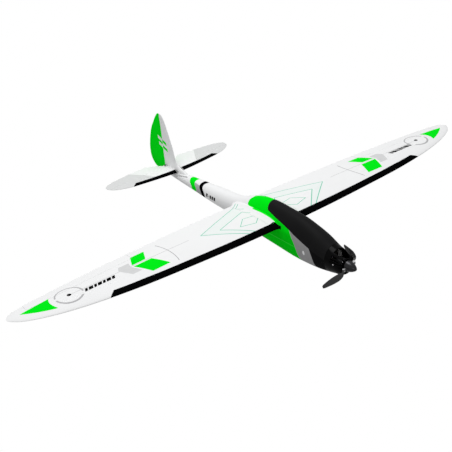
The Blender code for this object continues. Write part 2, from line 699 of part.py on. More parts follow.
# spinner: hollow cone with two notches for the arm, and a boss inside its tip
SPIN_BASE, SPIN_TIP, SPIN_R = -0.2585, -0.2905, 0.0155
SPIN_INSIDE = [(0.0, -0.2850), (0.0040, -0.2820), (0.0098, -0.2720), (0.0130, -0.2640),
               (0.0139, SPIN_BASE)]  # radius, y
spin_outside = [(SPIN_R * (1 - (k / 8) ** 1.75) ** 0.72,
                 SPIN_BASE + (SPIN_TIP - SPIN_BASE) * (k / 8)) for k in range(9)]
spinner = turned("spinner_cone", SPIN_INSIDE + spin_outside, spinner_grey, 32)
cut(spinner, hub_block("spinner_notch", HUB + Vector((0, 0.004, 0)), (0.060, 0.0210, 0.0096)))
join(spinner, shaft_rod("spinner_boss", -0.2852, -0.2698, 0.0030, seg=14))

BLADE = [  # distance from the pin, forward sweep, chord, thickness, pitch in degrees
    (0.0030, 0.0000, 0.0054, 0.0030, 90), (0.0062, 0.0032, 0.0054, 0.0030, 84),
    (0.0105, 0.0076, 0.0064, 0.0028, 60), (0.0150, 0.0096, 0.0100, 0.0026, 38),
    (0.0200, 0.0101, 0.0140, 0.0024, 27), (0.0270, 0.0100, 0.0175, 0.0022, 21),
    (0.0350, 0.0092, 0.0193, 0.0019, 18), (0.0440, 0.0078, 0.0192, 0.0017, 16),
    (0.0530, 0.0064, 0.0181, 0.0015, 14), (0.0620, 0.0051, 0.0160, 0.0013, 13),
    (0.0700, 0.0040, 0.0136, 0.0011, 12), (0.0765, 0.0031, 0.0108, 0.0009, 11),
    (0.0800, 0.0027, 0.0066, 0.0008, 11),
]


def blade(side_name, fold):
    """Folding blade: root eye on the pin, a neck cranked forward to clear the cowl,
    then a cambered, twisted blade."""
    name, pin, side = "prop_blade_" + side_name, PINS[side_name], SIDES[side_name]
    out = side * ARM
    turn = Matrix.Rotation(side * fold, 4, UP)
    move = Matrix.Translation(pin) @ turn @ Matrix.Translation(-pin)
    rings = []
    for distance, sweep, chord, thick, degrees in BLADE:
        pitch = radians(degrees)
        lead = FWD * sin(pitch) + (UP * cos(pitch)) * side
        normal = out.cross(lead).normalized()
        centre = pin + out * distance + FWD * sweep
        ring = []
        for k in range(12):
            c, s = cos(2 * pi * k / 12), sin(2 * pi * k / 12)
            point = centre + lead * (chord / 2 * c) + normal * (thick / 2 * s * (1.15 - 0.3 * c))
            ring.append(move @ point)
        rings.append(ring)
    obj = loft(name, rings, blade_grey, origin=pin)
    join(obj, fold_rod("blade_eye_" + name, pin, 0.0016, 0.0036, seg=18))
    cut(obj, fold_rod("blade_bore_" + name, pin, 0.006, PIN_HOLE_R))
    smooth(obj)


blade("starboard", 0.0)
blade("port", PORT_FOLD)
for side_name, pin in PINS.items():
    fold_rod("blade_pin_" + side_name, pin, 0.0042, BLADE_PIN_R, steel)

# ================================================================ wing
PANEL_X = [ROOT_X, 0.110, 0.170, 0.240, 0.310, 0.380, 0.450, 0.520, 0.580, 0.630, 0.680, 0.715,
           0.742, 0.759, 0.776, 0.787, 0.7945, 0.7985]
AIL_END_GAP = 0.0006     # at each end of an aileron
HINGE_DEPTH = 0.0006     # hinge line, below the wing's top
AIL_NOSE_FRONT = 0.0001  # aileron's front edge, behind the hinge line
AIL_NOSE_AFT = AIL_NOSE_FRONT + 0.030 * tan(radians(27))  # the same, 0.030 below the hinge

# aileron servo, in the wing's underside
SERVO_X, SERVO_Y = 0.4900, 0.0720
SERVO_SHAFT_Y = SERVO_Y + 0.0060
SERVO_SHAFT_Z = -0.0020
SERVO_TOP = 0.0048
WELL_HALF_W = 0.0064
ARM_X = SERVO_X + 0.0095         # servo arm and aileron horn stand in one plane
ARM_LENGTH = 0.0140
AIL_ROD_Z = SERVO_SHAFT_Z - ARM_LENGTH

# aileron horn's base plate: behind the hinge line, and below the aileron's underside
BASE_FRONT, BASE_AFT = 0.0085, 0.0205
BASE_TOP, BASE_LOW = 0.0003, 0.0017


def along_hinge(inboard, outboard, x):
    """Value at x on a straight line between the aileron's ends."""
    return inboard + (outboard - inboard) * (x - AIL_IN) / (AIL_OUT - AIL_IN)


def hinge_y(x):
    return along_hinge(AIL_HINGE_IN, AIL_HINGE_OUT, x)


HINGE_Z_IN, HINGE_Z_OUT = [wing_top(x, hinge_y(x)) - HINGE_DEPTH for x in (AIL_IN, AIL_OUT)]


def hinge_z(x):
    return along_hinge(HINGE_Z_IN, HINGE_Z_OUT, x)


def hinge_strip(name, x_start, x_end, section, side):
    """Prism along the hinge: the section is (distance behind the hinge, height above it)."""
    return loft(name, [[(side * x, hinge_y(x) + back, hinge_z(x) + up) for back, up in section]
                       for x in (x_start, x_end)])


def wing_panel(side_name, side, form):
    panel = frozen(form, "wing_panel_" + side_name, foam_white)
    room = hinge_strip("aileron_room_" + side_name, AIL_IN - AIL_END_GAP, AIL_OUT + AIL_END_GAP,
                       [(-0.0004, 0.012), (-0.0004, -0.030), (0.08, -0.030), (0.08, 0.012)], side)
    joiner_bore = joiner_rod("panel_joiner_bore_" + side_name, side * 0.04,
                             side * (JOINER_HALF + 0.002), JOINER_R + GAP)
    pin_bore = rear_pin_rod("panel_pin_bore_" + side_name, side * 0.04, side * 0.0910,
                            REAR_PIN_R + GAP)
    well = box("servo_well_" + side_name,
               (side * (SERVO_X - WELL_HALF_W), SERVO_Y - 0.0155, -0.030),
               (side * (SERVO_X + WELL_HALF_W), SERVO_Y + 0.0155, 0.0052))
    arm_slot = box("servo_arm_slot_" + side_name,
                   (side * (SERVO_X + 0.006), SERVO_SHAFT_Y - 0.0120, -0.030),
                   (side * (SERVO_X + 0.0130), SERVO_SHAFT_Y + 0.0120, 0.0035))
    cut(panel, room, joiner_bore, pin_bore, well, arm_slot)
    smooth(panel)


def aileron(side_name, side, form):
    """Origin on the hinge line. The nose slopes back below the hinge, so that it can droop."""
    origin = (side * AIL_IN, hinge_y(AIL_IN), HINGE_Z_IN)
    obj = frozen(form, "aileron_" + side_name, foam_white, origin)
    keep(obj, hinge_strip("aileron_piece_" + side_name, AIL_IN, AIL_OUT,
                          [(AIL_NOSE_FRONT, 0.012), (AIL_NOSE_FRONT, 0.0),
                           (AIL_NOSE_AFT, -0.030), (0.09, -0.030), (0.09, 0.012)], side))
    smooth(obj)


def root_rib(side_name, side):
    """Moulded plate between panel and fairing."""
    rib = loft("wing_root_rib_" + side_name, [wing_ring(x, side) for x in (RIB_X, ROOT_X - GAP)],
               plastic_white)
    cut(rib,
        joiner_rod("rib_joiner_hole_" + side_name, side * 0.04, side * 0.07, JOINER_R + GAP),
        rear_pin_rod("rib_pin_hole_" + side_name, side * 0.04, side * 0.07, REAR_PIN_R + GAP))


def aileron_servo(side_name, side):
    """Case on its side with the output shaft pointing outboard, trimmed at the wing's skin."""
    x_low, x_high = sorted((side * (SERVO_X - WELL_HALF_W), side * (SERVO_X + WELL_HALF_W)))
    case = box("aileron_servo_" + side_name,
               (x_low + 0.0004, SERVO_Y - 0.0115, SERVO_TOP - 0.0225),
               (x_high - 0.0004, SERVO_Y + 0.0115, SERVO_TOP), servo_case, 0.0006, segments=1)
    join(case, rod("servo_boss_a_" + side_name,
                   (side * (SERVO_X + 0.004), SERVO_SHAFT_Y, SERVO_SHAFT_Z),
                   (side * (SERVO_X + 0.0078), SERVO_SHAFT_Y, SERVO_SHAFT_Z), 0.0028, seg=14))
    skin_z = wing_bottom(SERVO_X, SERVO_Y) - 0.0001
    keep(case, box("servo_depth_" + side_name, (x_low - 0.01, SERVO_Y - 0.03, skin_z),
                   (x_high + 0.02, SERVO_Y + 0.03, 0.02)))


def aileron_servo_arm(side_name, side):
    """Hub on the shaft, leaf hanging down through the slot."""
    pivot = Vector((side * ARM_X, SERVO_SHAFT_Y, SERVO_SHAFT_Z))
    half_hub = Vector((0.0012, 0, 0))
    arm = rod("aileron_servo_arm_" + side_name, pivot - half_hub, pivot + half_hub, 0.0030,
              plastic_white, origin=pivot)
    tip_z = SERVO_SHAFT_Z - ARM_LENGTH - 0.001
    outline = [(SERVO_SHAFT_Y - 0.0026, SERVO_SHAFT_Z), (SERVO_SHAFT_Y - 0.0013, tip_z),
               (SERVO_SHAFT_Y + 0.0013, tip_z), (SERVO_SHAFT_Y + 0.0026, SERVO_SHAFT_Z)]
    join(arm, prism("servo_arm_leaf_a_" + side_name, outline, 0, pivot.x - LEAF_HALF,
                    pivot.x + LEAF_HALF))


def aileron_horn(side_name, side):
    x, y = side * ARM_X, hinge_y(ARM_X)
    skin_z = wing_bottom(ARM_X, y + 0.014)
    front, aft = y + BASE_FRONT, y + BASE_AFT
    outline = [(front, skin_z - BASE_TOP), (aft, skin_z - BASE_TOP), (aft, skin_z - BASE_LOW),
               (y + 0.0150, skin_z - 0.0022), (y + 0.0016, AIL_ROD_Z - 0.0014),
               (y - 0.0016, AIL_ROD_Z - 0.0010), (y - 0.0012, AIL_ROD_Z + 0.0016)]
    horn = prism("aileron_horn_" + side_name, outline, 0, x - LEAF_HALF, x + LEAF_HALF,
                 plastic_black, origin=(x, y, hinge_z(ARM_X)))
    base = box("horn_base_a_" + side_name, (x - 0.0045, front, skin_z - BASE_LOW),
               (x + 0.0045, aft, skin_z - BASE_TOP))
    # the base plate follows the aileron's sloping underside
    slope = (wing_bottom(ARM_X, aft) - wing_bottom(ARM_X, front)) / 0.012
    for item in (horn, base):
        for vert in item.data.vertices:
            vert_y, vert_z = vert.co.y + item.location.y, vert.co.z + item.location.z
            if vert_z > skin_z - 0.0030 and vert_y > y + 0.006:
                vert.co.z += slope * (vert_y - y - 0.0140) - 0.00015
    join(horn, base)


def aileron_pushrod(side_name, side):
    """Lies outboard of the arm and the horn."""
    x = side * (ARM_X + 0.0021)
    wire("aileron_pushrod_" + side_name,
         [(x, SERVO_SHAFT_Y - 0.0012, AIL_ROD_Z), (x, hinge_y(ARM_X) + 0.0012, AIL_ROD_Z)],
         PUSHROD_R, steel)


for side_name, side in SIDES.items():
    wing_form = loft("wing_form_" + side_name, [wing_ring(x, side) for x in PANEL_X])
    wing_panel(side_name, side, wing_form)
    aileron(side_name, side, wing_form)
    root_rib(side_name, side)
    aileron_servo(side_name, side)
    aileron_servo_arm(side_name, side)
    aileron_horn(side_name, side)
    aileron_pushrod(side_name, side)

# carbon tube and steel pin carry both panels through the fuselage
wing_tube = joiner_rod("wing_joiner_tube", -JOINER_HALF, JOINER_HALF, JOINER_R, carbon)
cut(wing_tube, joiner_rod("tube_bore", -JOINER_HALF - 0.01, JOINER_HALF + 0.01,
                          JOINER_R - JOINER_WALL))
rear_pin_rod("wing_rear_pin", -REAR_PIN_HALF, REAR_PIN_HALF, REAR_PIN_R, steel, 14)

# ================================================================ tail
# stabiliser, with its screw from below
stab_region = box("stabiliser_region", (-0.30, 0.48, -0.06), (0.30, ELEV_HINGE_Y - 0.0025, 0.03))
stab = frozen(stab_form, "stabiliser", foam_white)
keep(stab, stab_region)
cut(stab, stab_screw_rod("stab_screw_thread", -0.030, STAB_Z + 0.0015, 0.0013),
    box("stab_pushrod_room", (-0.0138, 0.4900, -0.0300), (0.0138, 0.5077, 0.0100)))
smooth(stab)
join(stab_screw_rod("stabiliser_screw", -0.0372, -0.0348, 0.0030, steel, 14),
     stab_screw_rod("stab_screw_shank", -0.0360, STAB_Z, 0.0010, seg=10))

# elevator: two halves on a joiner that passes through the fin's foot
BEVEL_AFT = ELEV_HINGE_Y + 0.03 * tan(radians(32))  # front bevel, 0.03 above and below the hinge
elevator_region = prism("elevator_region", [
    (ELEV_HINGE_Y, STAB_Z), (BEVEL_AFT, STAB_Z + 0.03), (0.70, STAB_Z + 0.03),
    (0.70, STAB_Z - 0.03), (BEVEL_AFT, STAB_Z - 0.03)], 0, -0.24, 0.24)
ROOM_STARBOARD = [(-0.0135, 0.54), (-0.0135, ELEV_HINGE_Y + 0.0010), (-0.0280, 0.5845),
                  (-0.0650, 0.6145), (-0.0650, 0.66)]  # x, y
rudder_room = prism("rudder_room", ROOM_STARBOARD + [(-x, y) for x, y in ROOM_STARBOARD[::-1]],
                    2, -0.06, 0.04)
elevator = frozen(stab_form, "elevator", foam_white, (0, ELEV_HINGE_Y, STAB_Z))
keep(elevator, elevator_region)
cut(elevator, rudder_room)
join(elevator, rod("elevator_joiner", (-0.0240, ELEV_JOINER_Y, STAB_Z),
                   (0.0240, ELEV_JOINER_Y, STAB_Z), 0.0011, seg=14))
smooth(elevator)

# rudder, bevelled both ways in front so that it can swing
RUDDER_FRONT = [(0.0240, -0.045), (0.0180, -0.0290), (0.0, -0.0128), (0.0, 0.170)]  # y - hinge, z
RUDDER_BEVEL = tan(radians(36))


def rudder_region_ring(back, z):
    front = FIN_HINGE_Y + back
    shoulder = front + 0.03 * RUDDER_BEVEL
    return [(0.0, front, z), (0.03, shoulder, z), (0.03, 0.72, z), (-0.03, 0.72, z),
            (-0.03, shoulder, z)]


rudder_region = loft("rudder_region", [rudder_region_ring(*row) for row in RUDDER_FRONT])
rudder = frozen(fin_form, "rudder", foam_green, (0, FIN_HINGE_Y, 0.0))
keep(rudder, rudder_region)
smooth(rudder)

# ---------------------------------------------------------------- tail linkages
ELEV_ROD_END = Vector((-0.0128, 0.5600, 0.0005))
RUD_Z = 0.0045           # aft end of the rudder's pushrod

# the elevator horn stands on the inner corner of the starboard half
horn_x = ELEV_ROD_END.x - 0.0016
horn_front, horn_aft = ELEV_HINGE_Y + 0.0032, ELEV_HINGE_Y + 0.0100
horn_low, horn_top = STAB_Z + 0.0040, STAB_Z + 0.0052   # base plate
elevator_horn = prism("elevator_horn", [
    (horn_front, horn_low), (horn_aft, horn_low), (horn_aft, horn_top),
    (ELEV_HINGE_Y + 0.0060, STAB_Z + 0.0064), (0.5612, 0.0018), (0.5592, 0.0018),
    (0.5592, -0.0006)], 0, horn_x - LEAF_HALF, horn_x + LEAF_HALF, plastic_black,
    origin=(horn_x, ELEV_HINGE_Y, STAB_Z))
join(elevator_horn, box("horn_base_elevator", (horn_x - 0.0020, horn_front, horn_low),
                        (horn_x + LEAF_HALF, horn_aft, horn_top)))

# the rudder horn lies flat, on the port side
RUDDER_HORN = [  # x, distance behind the hinge
    (0.0062, 0.0080), (0.0046, 0.0140), (0.0060, 0.0140), (0.0146, 0.0020),
    (0.0146, -0.0018), (0.0122, -0.0018), (0.0062, 0.0050)]
prism("rudder_horn", [(x, FIN_HINGE_Y + back) for x, back in RUDDER_HORN], 2, RUD_Z + 0.0010,
      RUD_Z + 0.0024, plastic_black, origin=(0, FIN_HINGE_Y, RUD_Z))

# pushrods: stiff wires that leave the boom through a slot on each side of the fin
PUSHROD_PATH = [  # distance from the middle, y, z
    (0.0230, 0.0800, -0.0262), (0.0230, 0.0980, -0.0262), (0.0065, 0.2000, -0.0300),
    (0.0065, 0.4400, -0.0300), (0.0108, 0.4860, -0.0150), (0.0124, 0.5120, -0.0050)]
PUSHROD_ENDS = [("elevator", -1, ELEV_ROD_END),
                ("rudder", 1, (0.0134, FIN_HINGE_Y - 0.0002, RUD_Z))]
for kind, side, end in PUSHROD_ENDS:
    path = [(side * x, y, z) for x, y, z in PUSHROD_PATH]
    wire(kind + "_pushrod", path + [end], PUSHROD_R, steel)

# ---------------------------------------------------------------- fuselage servos
SERVO_TRAY_Z = -0.0430   # top of the ply tray
TRAY_SERVO_X = 0.0125    # servo centre, from the middle
TRAY_SHAFT_Y = 0.0820
ARM_Z = SERVO_TRAY_Z + 0.0143    # underside of the servo arms

servo_tray = box("servo_tray", (-0.0232, 0.0520, SERVO_TRAY_Z - 0.0020),
                 (0.0232, 0.1000, SERVO_TRAY_Z), birch)
for side_name, side in SIDES.items():
    x = side * TRAY_SERVO_X
    cut(servo_tray, box("servo_window_" + side_name, (x - 0.0065, 0.0645, SERVO_TRAY_Z - 0.01),
                        (x + 0.0065, 0.0885, SERVO_TRAY_Z + 0.01)))


def tray_servo(kind, x):
    """Upright case with ears and an output boss on top."""
    case = box(kind + "_servo", (x - 0.0060, 0.0650, SERVO_TRAY_Z - 0.0110),
               (x + 0.0060, 0.0880, SERVO_TRAY_Z + 0.0110), servo_case, 0.0006, segments=1)
    join(case, box("servo_ears_" + kind, (x - 0.0059, 0.0602, SERVO_TRAY_Z + 0.0004),
                   (x + 0.0059, 0.0928, SERVO_TRAY_Z + 0.0020)),
         rod("servo_boss_" + kind, (x, TRAY_SHAFT_Y, SERVO_TRAY_Z + 0.0090),
             (x, TRAY_SHAFT_Y, SERVO_TRAY_Z + 0.0140), 0.0028, seg=14))


def tray_servo_arm(kind, x, side):
    """The leaf reaches outwards; the pushrod lies on top of it."""
    pivot = (x, TRAY_SHAFT_Y, ARM_Z)
    arm = rod(kind + "_servo_arm", pivot, (x, TRAY_SHAFT_Y, ARM_Z + 0.0026), 0.0030,
              plastic_white, origin=pivot)
    root_x, tip_x = x + side * 0.0005, x + side * 0.0112
    join(arm, prism("servo_arm_leaf_" + kind, [(root_x, 0.0796), (tip_x, 0.0809),
                                               (tip_x, 0.0831), (root_x, 0.0844)],
                    2, ARM_Z, ARM_Z + 0.0014))


for kind, side in (("elevator", -1), ("rudder", 1)):
    tray_servo(kind, side * TRAY_SERVO_X)
    tray_servo_arm(kind, side * TRAY_SERVO_X, side)

# ================================================================ inside the nose
# ply former behind the motor carries the front magnet and passes the wires
FORMER_FRONT, FORMER_AFT, FORMER_TOP = -0.1900, -0.1870, -0.0060
former_ring = body_ring(FORMER_FRONT, 28, FOAM + 3 * GAP)
former = loft("front_former", [[(x, y, min(z, FORMER_TOP)) for x, _, z in former_ring]
                               for y in (FORMER_FRONT, FORMER_AFT)], birch)
cut(former, rod("former_hole", (0, -0.20, -0.0425), (0, -0.18, -0.0425), 0.0145, seg=20))

# a pair of magnets, one above the other
MAGNET_Y, MAGNET_R, MAGNET_H = -0.1885, 0.0028, 0.0027
for name, z in (("former_magnet", -0.0057), ("canopy_magnet", -0.0022)):
    rod(name, (0, MAGNET_Y, z), (0, MAGNET_Y, z + MAGNET_H), MAGNET_R, nickel)

# battery on its tray, held by a hook-and-loop strap
BATTERY_HALF_W = 0.0170
BATTERY_FRONT, BATTERY_AFT = -0.1500, -0.0450
BATTERY_LOW, BATTERY_TOP = -0.0590, -0.0345
TRAY_TOP = BATTERY_LOW - GAP
TRAY_LOW = TRAY_TOP - 0.0030
battery_tray = prism("battery_tray", [
    (-0.0205, -0.1862), (-0.0255, -0.1500), (-0.0255, -0.0300), (0.0255, -0.0300),
    (0.0255, -0.1500), (0.0205, -0.1862)], 2, TRAY_LOW, TRAY_TOP, birch)
for side_name, side in SIDES.items():
    cut(battery_tray, box("strap_slot_" + side_name, (side * 0.0168, -0.1130, -0.09),
                          (side * 0.0206, -0.0910, -0.02)))
box("flight_battery", (-BATTERY_HALF_W, BATTERY_FRONT, BATTERY_LOW),
    (BATTERY_HALF_W, BATTERY_AFT, BATTERY_TOP), wrap_blue, bevel=0.0025)
strap = box("battery_strap", (-0.0198, -0.1120, TRAY_LOW - 0.0018),
            (0.0198, -0.0920, BATTERY_TOP + 0.0018), strap_black)
cut(strap, box("strap_inside", (-0.0176, -0.13, TRAY_LOW - 0.0004),
               (0.0176, -0.07, BATTERY_TOP + 0.0004)))

# battery lead and plug
wire("battery_lead", [(-0.0060, -0.1514, -0.0400), (-0.0060, -0.1560, -0.0385),
                      (-0.0075, -0.1640, -0.0330), (-0.0075, -0.1700, -0.0330)],
     0.0016, wire_red, resolution=2)
box("battery_plug", (-0.0130, -0.1800, -0.0370), (-0.0020, -0.1704, -0.0290), plastic_white,
    bevel=0.0008, segments=1)

# speed controller on the tray's front, with three wires through the former to the motor
MOTOR_WIRE_PITCH = 0.0044
box("speed_controller", (-0.0120, -0.1830, TRAY_TOP + GAP), (0.0120, -0.1560, TRAY_TOP + 0.0080),
    shrink_black, bevel=0.0015)
for k, letter in enumerate("abc"):
    x = (k - 1) * MOTOR_WIRE_PITCH
    wire("motor_wire_" + letter, [(x, -0.1844, TRAY_TOP + 0.0042), (x, -0.1900, -0.0500),
                                  (x, -0.2000, -0.0450), (x, -0.2130, -0.0430)],
         0.0012, wire_red)

# receiver behind the servos, with its aerial
box("receiver", (-0.0110, 0.1080, -0.0540), (0.0110, 0.1450, -0.0420), plastic_black,
    bevel=0.0010, segments=1)
wire("receiver_aerial", [(0.0, 0.1454, -0.0480), (0.0, 0.1600, -0.0440), (0.0, 0.2600, -0.0440)],
     0.0006, shrink_black)

bpy.context.view_layer.update()
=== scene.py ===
"""A foam model aeroplane with an electric motor and a folding two-blade propeller.

Metres. The nose points along -Y, the port wing along +X, and +Z is up. Shapes are
drawn from DATUM, a point on the chord plane just behind the wing's leading edge.
The visible skins replace CAD pieces; the other CAD pieces stay and get materials.
"""
import json
from functools import cached_property, reduce
from math import cos, pi, radians, sin, sqrt, tan

import bmesh
import bpy
import numpy as np
from mathutils import Matrix, Vector

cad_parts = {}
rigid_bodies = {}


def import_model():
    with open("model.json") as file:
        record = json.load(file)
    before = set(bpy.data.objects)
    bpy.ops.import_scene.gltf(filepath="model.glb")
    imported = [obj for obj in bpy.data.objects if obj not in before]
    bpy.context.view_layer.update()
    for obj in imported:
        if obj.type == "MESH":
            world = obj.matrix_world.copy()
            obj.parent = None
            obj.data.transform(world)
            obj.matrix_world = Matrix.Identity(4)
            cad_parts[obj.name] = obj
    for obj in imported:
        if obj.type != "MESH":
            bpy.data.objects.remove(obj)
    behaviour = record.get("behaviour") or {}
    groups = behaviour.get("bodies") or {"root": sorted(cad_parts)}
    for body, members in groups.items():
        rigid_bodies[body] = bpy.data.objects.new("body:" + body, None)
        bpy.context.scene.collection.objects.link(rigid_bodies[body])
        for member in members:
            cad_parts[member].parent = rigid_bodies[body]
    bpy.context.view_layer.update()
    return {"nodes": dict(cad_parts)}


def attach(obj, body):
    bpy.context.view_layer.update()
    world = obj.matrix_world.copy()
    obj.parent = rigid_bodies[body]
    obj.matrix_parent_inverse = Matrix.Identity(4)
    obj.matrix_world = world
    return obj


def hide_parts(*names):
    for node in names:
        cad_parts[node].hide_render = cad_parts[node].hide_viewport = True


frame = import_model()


SCENE = bpy.context.scene
DATUM = Vector((0.0, -0.015, 0.0815))
SIDES = {"starboard": -1, "port": 1}

# ---- Shared dimensions
GAP = 0.0003                        # clearance between fitted parts
FOAM = 0.0052                       # fuselage wall
ROOT_X, RIB_X = 0.0570, 0.0548      # wing panel root, fuselage root rib
HALF_SPAN = 0.800
THICK_ROOT, THICK_TIP, CAMBER = 0.095, 0.085, 0.020     # fractions of the chord
JOINER_R, JOINER_HALF, JOINER_Y, JOINER_Z = 0.0040, 0.350, 0.040, 0.0040
REAR_PIN_R, REAR_PIN_Y, REAR_PIN_Z = 0.0020, 0.128, 0.0022
AIL_IN, AIL_OUT = 0.420, 0.742      # aileron ends along x
AIL_HINGE_IN, AIL_HINGE_OUT = 0.1245, 0.1045            # hinge y at those ends
STAB_Z = -0.0117
ELEV_HINGE_Y, FIN_HINGE_Y, ELEV_JOINER_Y = 0.5630, 0.5910, 0.5662
COWL_AFT, COWL_FRONT = -0.2050, -0.2555
SHAFT_Z = -0.0376
HUB_Y, HUB_ARM = -0.2620, 0.0187    # hub centre, hub centre to blade pin
PHASE, PORT_FOLD = radians(11.9), radians(66.5)


# ---- Curves and sections
def curve_through(xs, ys):
    """Monotone cubic through the points, held constant past both ends."""
    xs, ys = np.asarray(xs, float), np.asarray(ys, float)
    step = np.diff(xs)
    chord = np.diff(ys) / step
    slope = np.zeros(len(xs))
    slope[0], slope[-1] = chord[0], chord[-1]
    for i in range(1, len(xs) - 1):
        if chord[i - 1] * chord[i] > 0:
            before = 2 * step[i] + step[i - 1]
            after = step[i] + 2 * step[i - 1]
            slope[i] = (before + after) / (before / chord[i - 1] + after / chord[i])

    def value(x):
        x = min(max(x, xs[0]), xs[-1])
        i = min(int(np.searchsorted(xs, x, side="right")) - 1, len(xs) - 2)
        i = max(i, 0)
        t = (x - xs[i]) / step[i]
        return float((1 + 2 * t) * (1 - t) ** 2 * ys[i] + t * (1 - t) ** 2 * step[i] * slope[i]
                     + t * t * (3 - 2 * t) * ys[i + 1] + t * t * (t - 1) * step[i] * slope[i + 1])
    return value


def column_curves(table):
    """One curve for each later column, over the first."""
    first, *others = zip(*table)
    return [curve_through(first, column) for column in others]


def stations(lo, hi, step, extra=()):
    places = list(np.arange(lo, hi, step)) + [hi] + list(extra)
    return sorted(set(round(float(v), 6) for v in places))


def even_stations(lo, hi, count, extra):
    return sorted({round(float(v), 5) for v in np.linspace(lo, hi, count)} | set(extra))


# Fuselage: y, centre z, half height, half width, power of the lower half's superellipse
BODY = [
    (-0.2600, -0.0376, 0.0200, 0.0200, 2.00), (-0.2545, -0.0376, 0.0268, 0.0268, 2.00),
    (-0.2450, -0.0380, 0.0308, 0.0304, 2.03), (-0.2320, -0.0362, 0.0340, 0.0326, 2.08),
    (-0.2180, -0.0362, 0.0368, 0.0339, 2.13), (-0.2050, -0.0355, 0.0398, 0.0347, 2.18),
    (-0.1900, -0.0333, 0.0442, 0.0363, 2.26), (-0.1650, -0.0292, 0.0512, 0.0382, 2.40),
    (-0.1250, -0.0247, 0.0588, 0.0390, 2.50), (-0.0800, -0.0209, 0.0646, 0.0390, 2.50),
    (-0.0300, -0.0181, 0.0660, 0.0378, 2.50), (0.0200, -0.0150, 0.0658, 0.0368, 2.50),
    (0.0700, -0.0143, 0.0621, 0.0347, 2.50), (0.1200, -0.0185, 0.0530, 0.0308, 2.40),
    (0.1700, -0.0252, 0.0412, 0.0275, 2.25), (0.2200, -0.0282, 0.0342, 0.0272, 2.10),
    (0.3000, -0.0281, 0.0286, 0.0267, 2.00), (0.4000, -0.0289, 0.0211, 0.0205, 2.00),
    (0.5000, -0.0291, 0.0150, 0.0144, 2.00), (0.5450, -0.0287, 0.0122, 0.0116, 2.00),
    (0.5620, -0.0265, 0.0108, 0.0098, 2.00), (0.5760, -0.0222, 0.0086, 0.0076, 2.00),
    (0.5885, -0.0165, 0.0058, 0.0050, 2.00),
]
BODY_END = BODY[-1][0]
body_centre, body_half_height, body_half_width, body_power = column_curves(BODY)


def body_ring(y, count, inset=0.0):
    centre, lower_power = body_centre(y), body_power(y)
    height, width = body_half_height(y) - inset, body_half_width(y) - inset
    ring = []
    for k in range(count):
        angle = 2 * pi * (k + 0.5) / count
        c, s = cos(angle), sin(angle)
        power = 2.0 if s > 0 else lower_power
        ring.append((width * np.sign(c) * abs(c) ** (2 / power), y,
                     centre + height * np.sign(s) * abs(s) ** (2 / power)))
    return ring


def airfoil(lead, trail, thick, camber, count, trail_gap=0.0014):
    """(y, z) points from the trailing edge over the top and back underneath."""
    chord = trail - lead
    gap = min(trail_gap, 0.03 * chord) / chord
    upper, lower = [], []
    for k in range(count + 1):
        x = 0.5 * (1 - cos(pi * k / count))
        half = 5 * thick * (0.2969 * sqrt(x) - 0.1260 * x - 0.3516 * x ** 2 + 0.2843 * x ** 3
                            - 0.1036 * x ** 4)
        half += 0.5 * gap * x
        peak = 0.4
        if x < peak:
            mean = camber / peak ** 2 * (2 * peak * x - x * x)
        else:
            mean = camber / (1 - peak) ** 2 * ((1 - 2 * peak) + 2 * peak * x - x * x)
        upper.append((lead + x * chord, (mean + half) * chord))
        lower.append((lead + x * chord, (mean - half) * chord))
    return upper[::-1] + lower[1:]


# Wing: x, leading-edge y, trailing-edge y
WING = [
    (0.000, -0.0272, 0.1740), (0.150, -0.0240, 0.1711), (0.300, -0.0167, 0.1666),
    (0.450, -0.0068, 0.1602), (0.580, 0.0103, 0.1510), (0.680, 0.0328, 0.1420),
    (0.736, 0.0530, 0.1352), (0.759, 0.0640, 0.1310), (0.776, 0.0748, 0.1265),
    (0.790, 0.0878, 0.1195), (0.7965, 0.0960, 0.1130), (0.7995, 0.1015, 0.1075),
]
wing_lead, wing_trail = column_curves(WING)


def wing_section(x, count):
    thick = THICK_ROOT + (THICK_TIP - THICK_ROOT) * x / HALF_SPAN
    return airfoil(wing_lead(x), wing_trail(x), thick, CAMBER, count)


def wing_ring(x, side):
    return [(side * x, y, z) for y, z in wing_section(x, 44)]


def wing_top(x, y):
    upper = wing_section(x, 24)[:25][::-1]
    return float(np.interp(y, [p[0] for p in upper], [p[1] for p in upper]))


# Fin with rudder: z, leading-edge y, trailing-edge y
FIN = [
    (-0.0380, 0.4400, 0.6200), (-0.0355, 0.4420, 0.6340), (-0.0330, 0.4440, 0.6440),
    (-0.0260, 0.4480, 0.6530), (-0.0160, 0.4560, 0.6620), (-0.0060, 0.4780, 0.6670),
    (0.0030, 0.5060, 0.6690), (0.0120, 0.5190, 0.6695), (0.0250, 0.5250, 0.6690),
    (0.0570, 0.5320, 0.6620), (0.0860, 0.5420, 0.6520), (0.1080, 0.5495, 0.6410),
    (0.1280, 0.5570, 0.6270), (0.1440, 0.5640, 0.6160), (0.1540, 0.5700, 0.6075),
    (0.1600, 0.5760, 0.6015), (0.1630, 0.5815, 0.5975),
]
fin_lead, fin_trail = column_curves(FIN)


def fin_ring(z):
    """A fin section, thinned below z = -0.020."""
    width = 1.0 if z > -0.020 else max(0.35, 1 - (abs(z) - 0.020) * 25)
    section = airfoil(fin_lead(z), fin_trail(z), 0.070, 0.0, 28, 0.0012)
    return [(x * width, y, z) for y, x in section]


# Tailplane: x, leading-edge y, trailing-edge y
STAB = [
    (0.000, 0.5032, 0.6160), (0.020, 0.5042, 0.6155), (0.064, 0.5082, 0.6140),
    (0.130, 0.5167, 0.6090), (0.158, 0.5210, 0.6052), (0.190, 0.5304, 0.6000),
    (0.209, 0.5391, 0.5950), (0.222, 0.5492, 0.5890), (0.229, 0.5577, 0.5845),
    (0.2325, 0.5650, 0.5800),
]
stab_lead, stab_trail = column_curves(STAB)


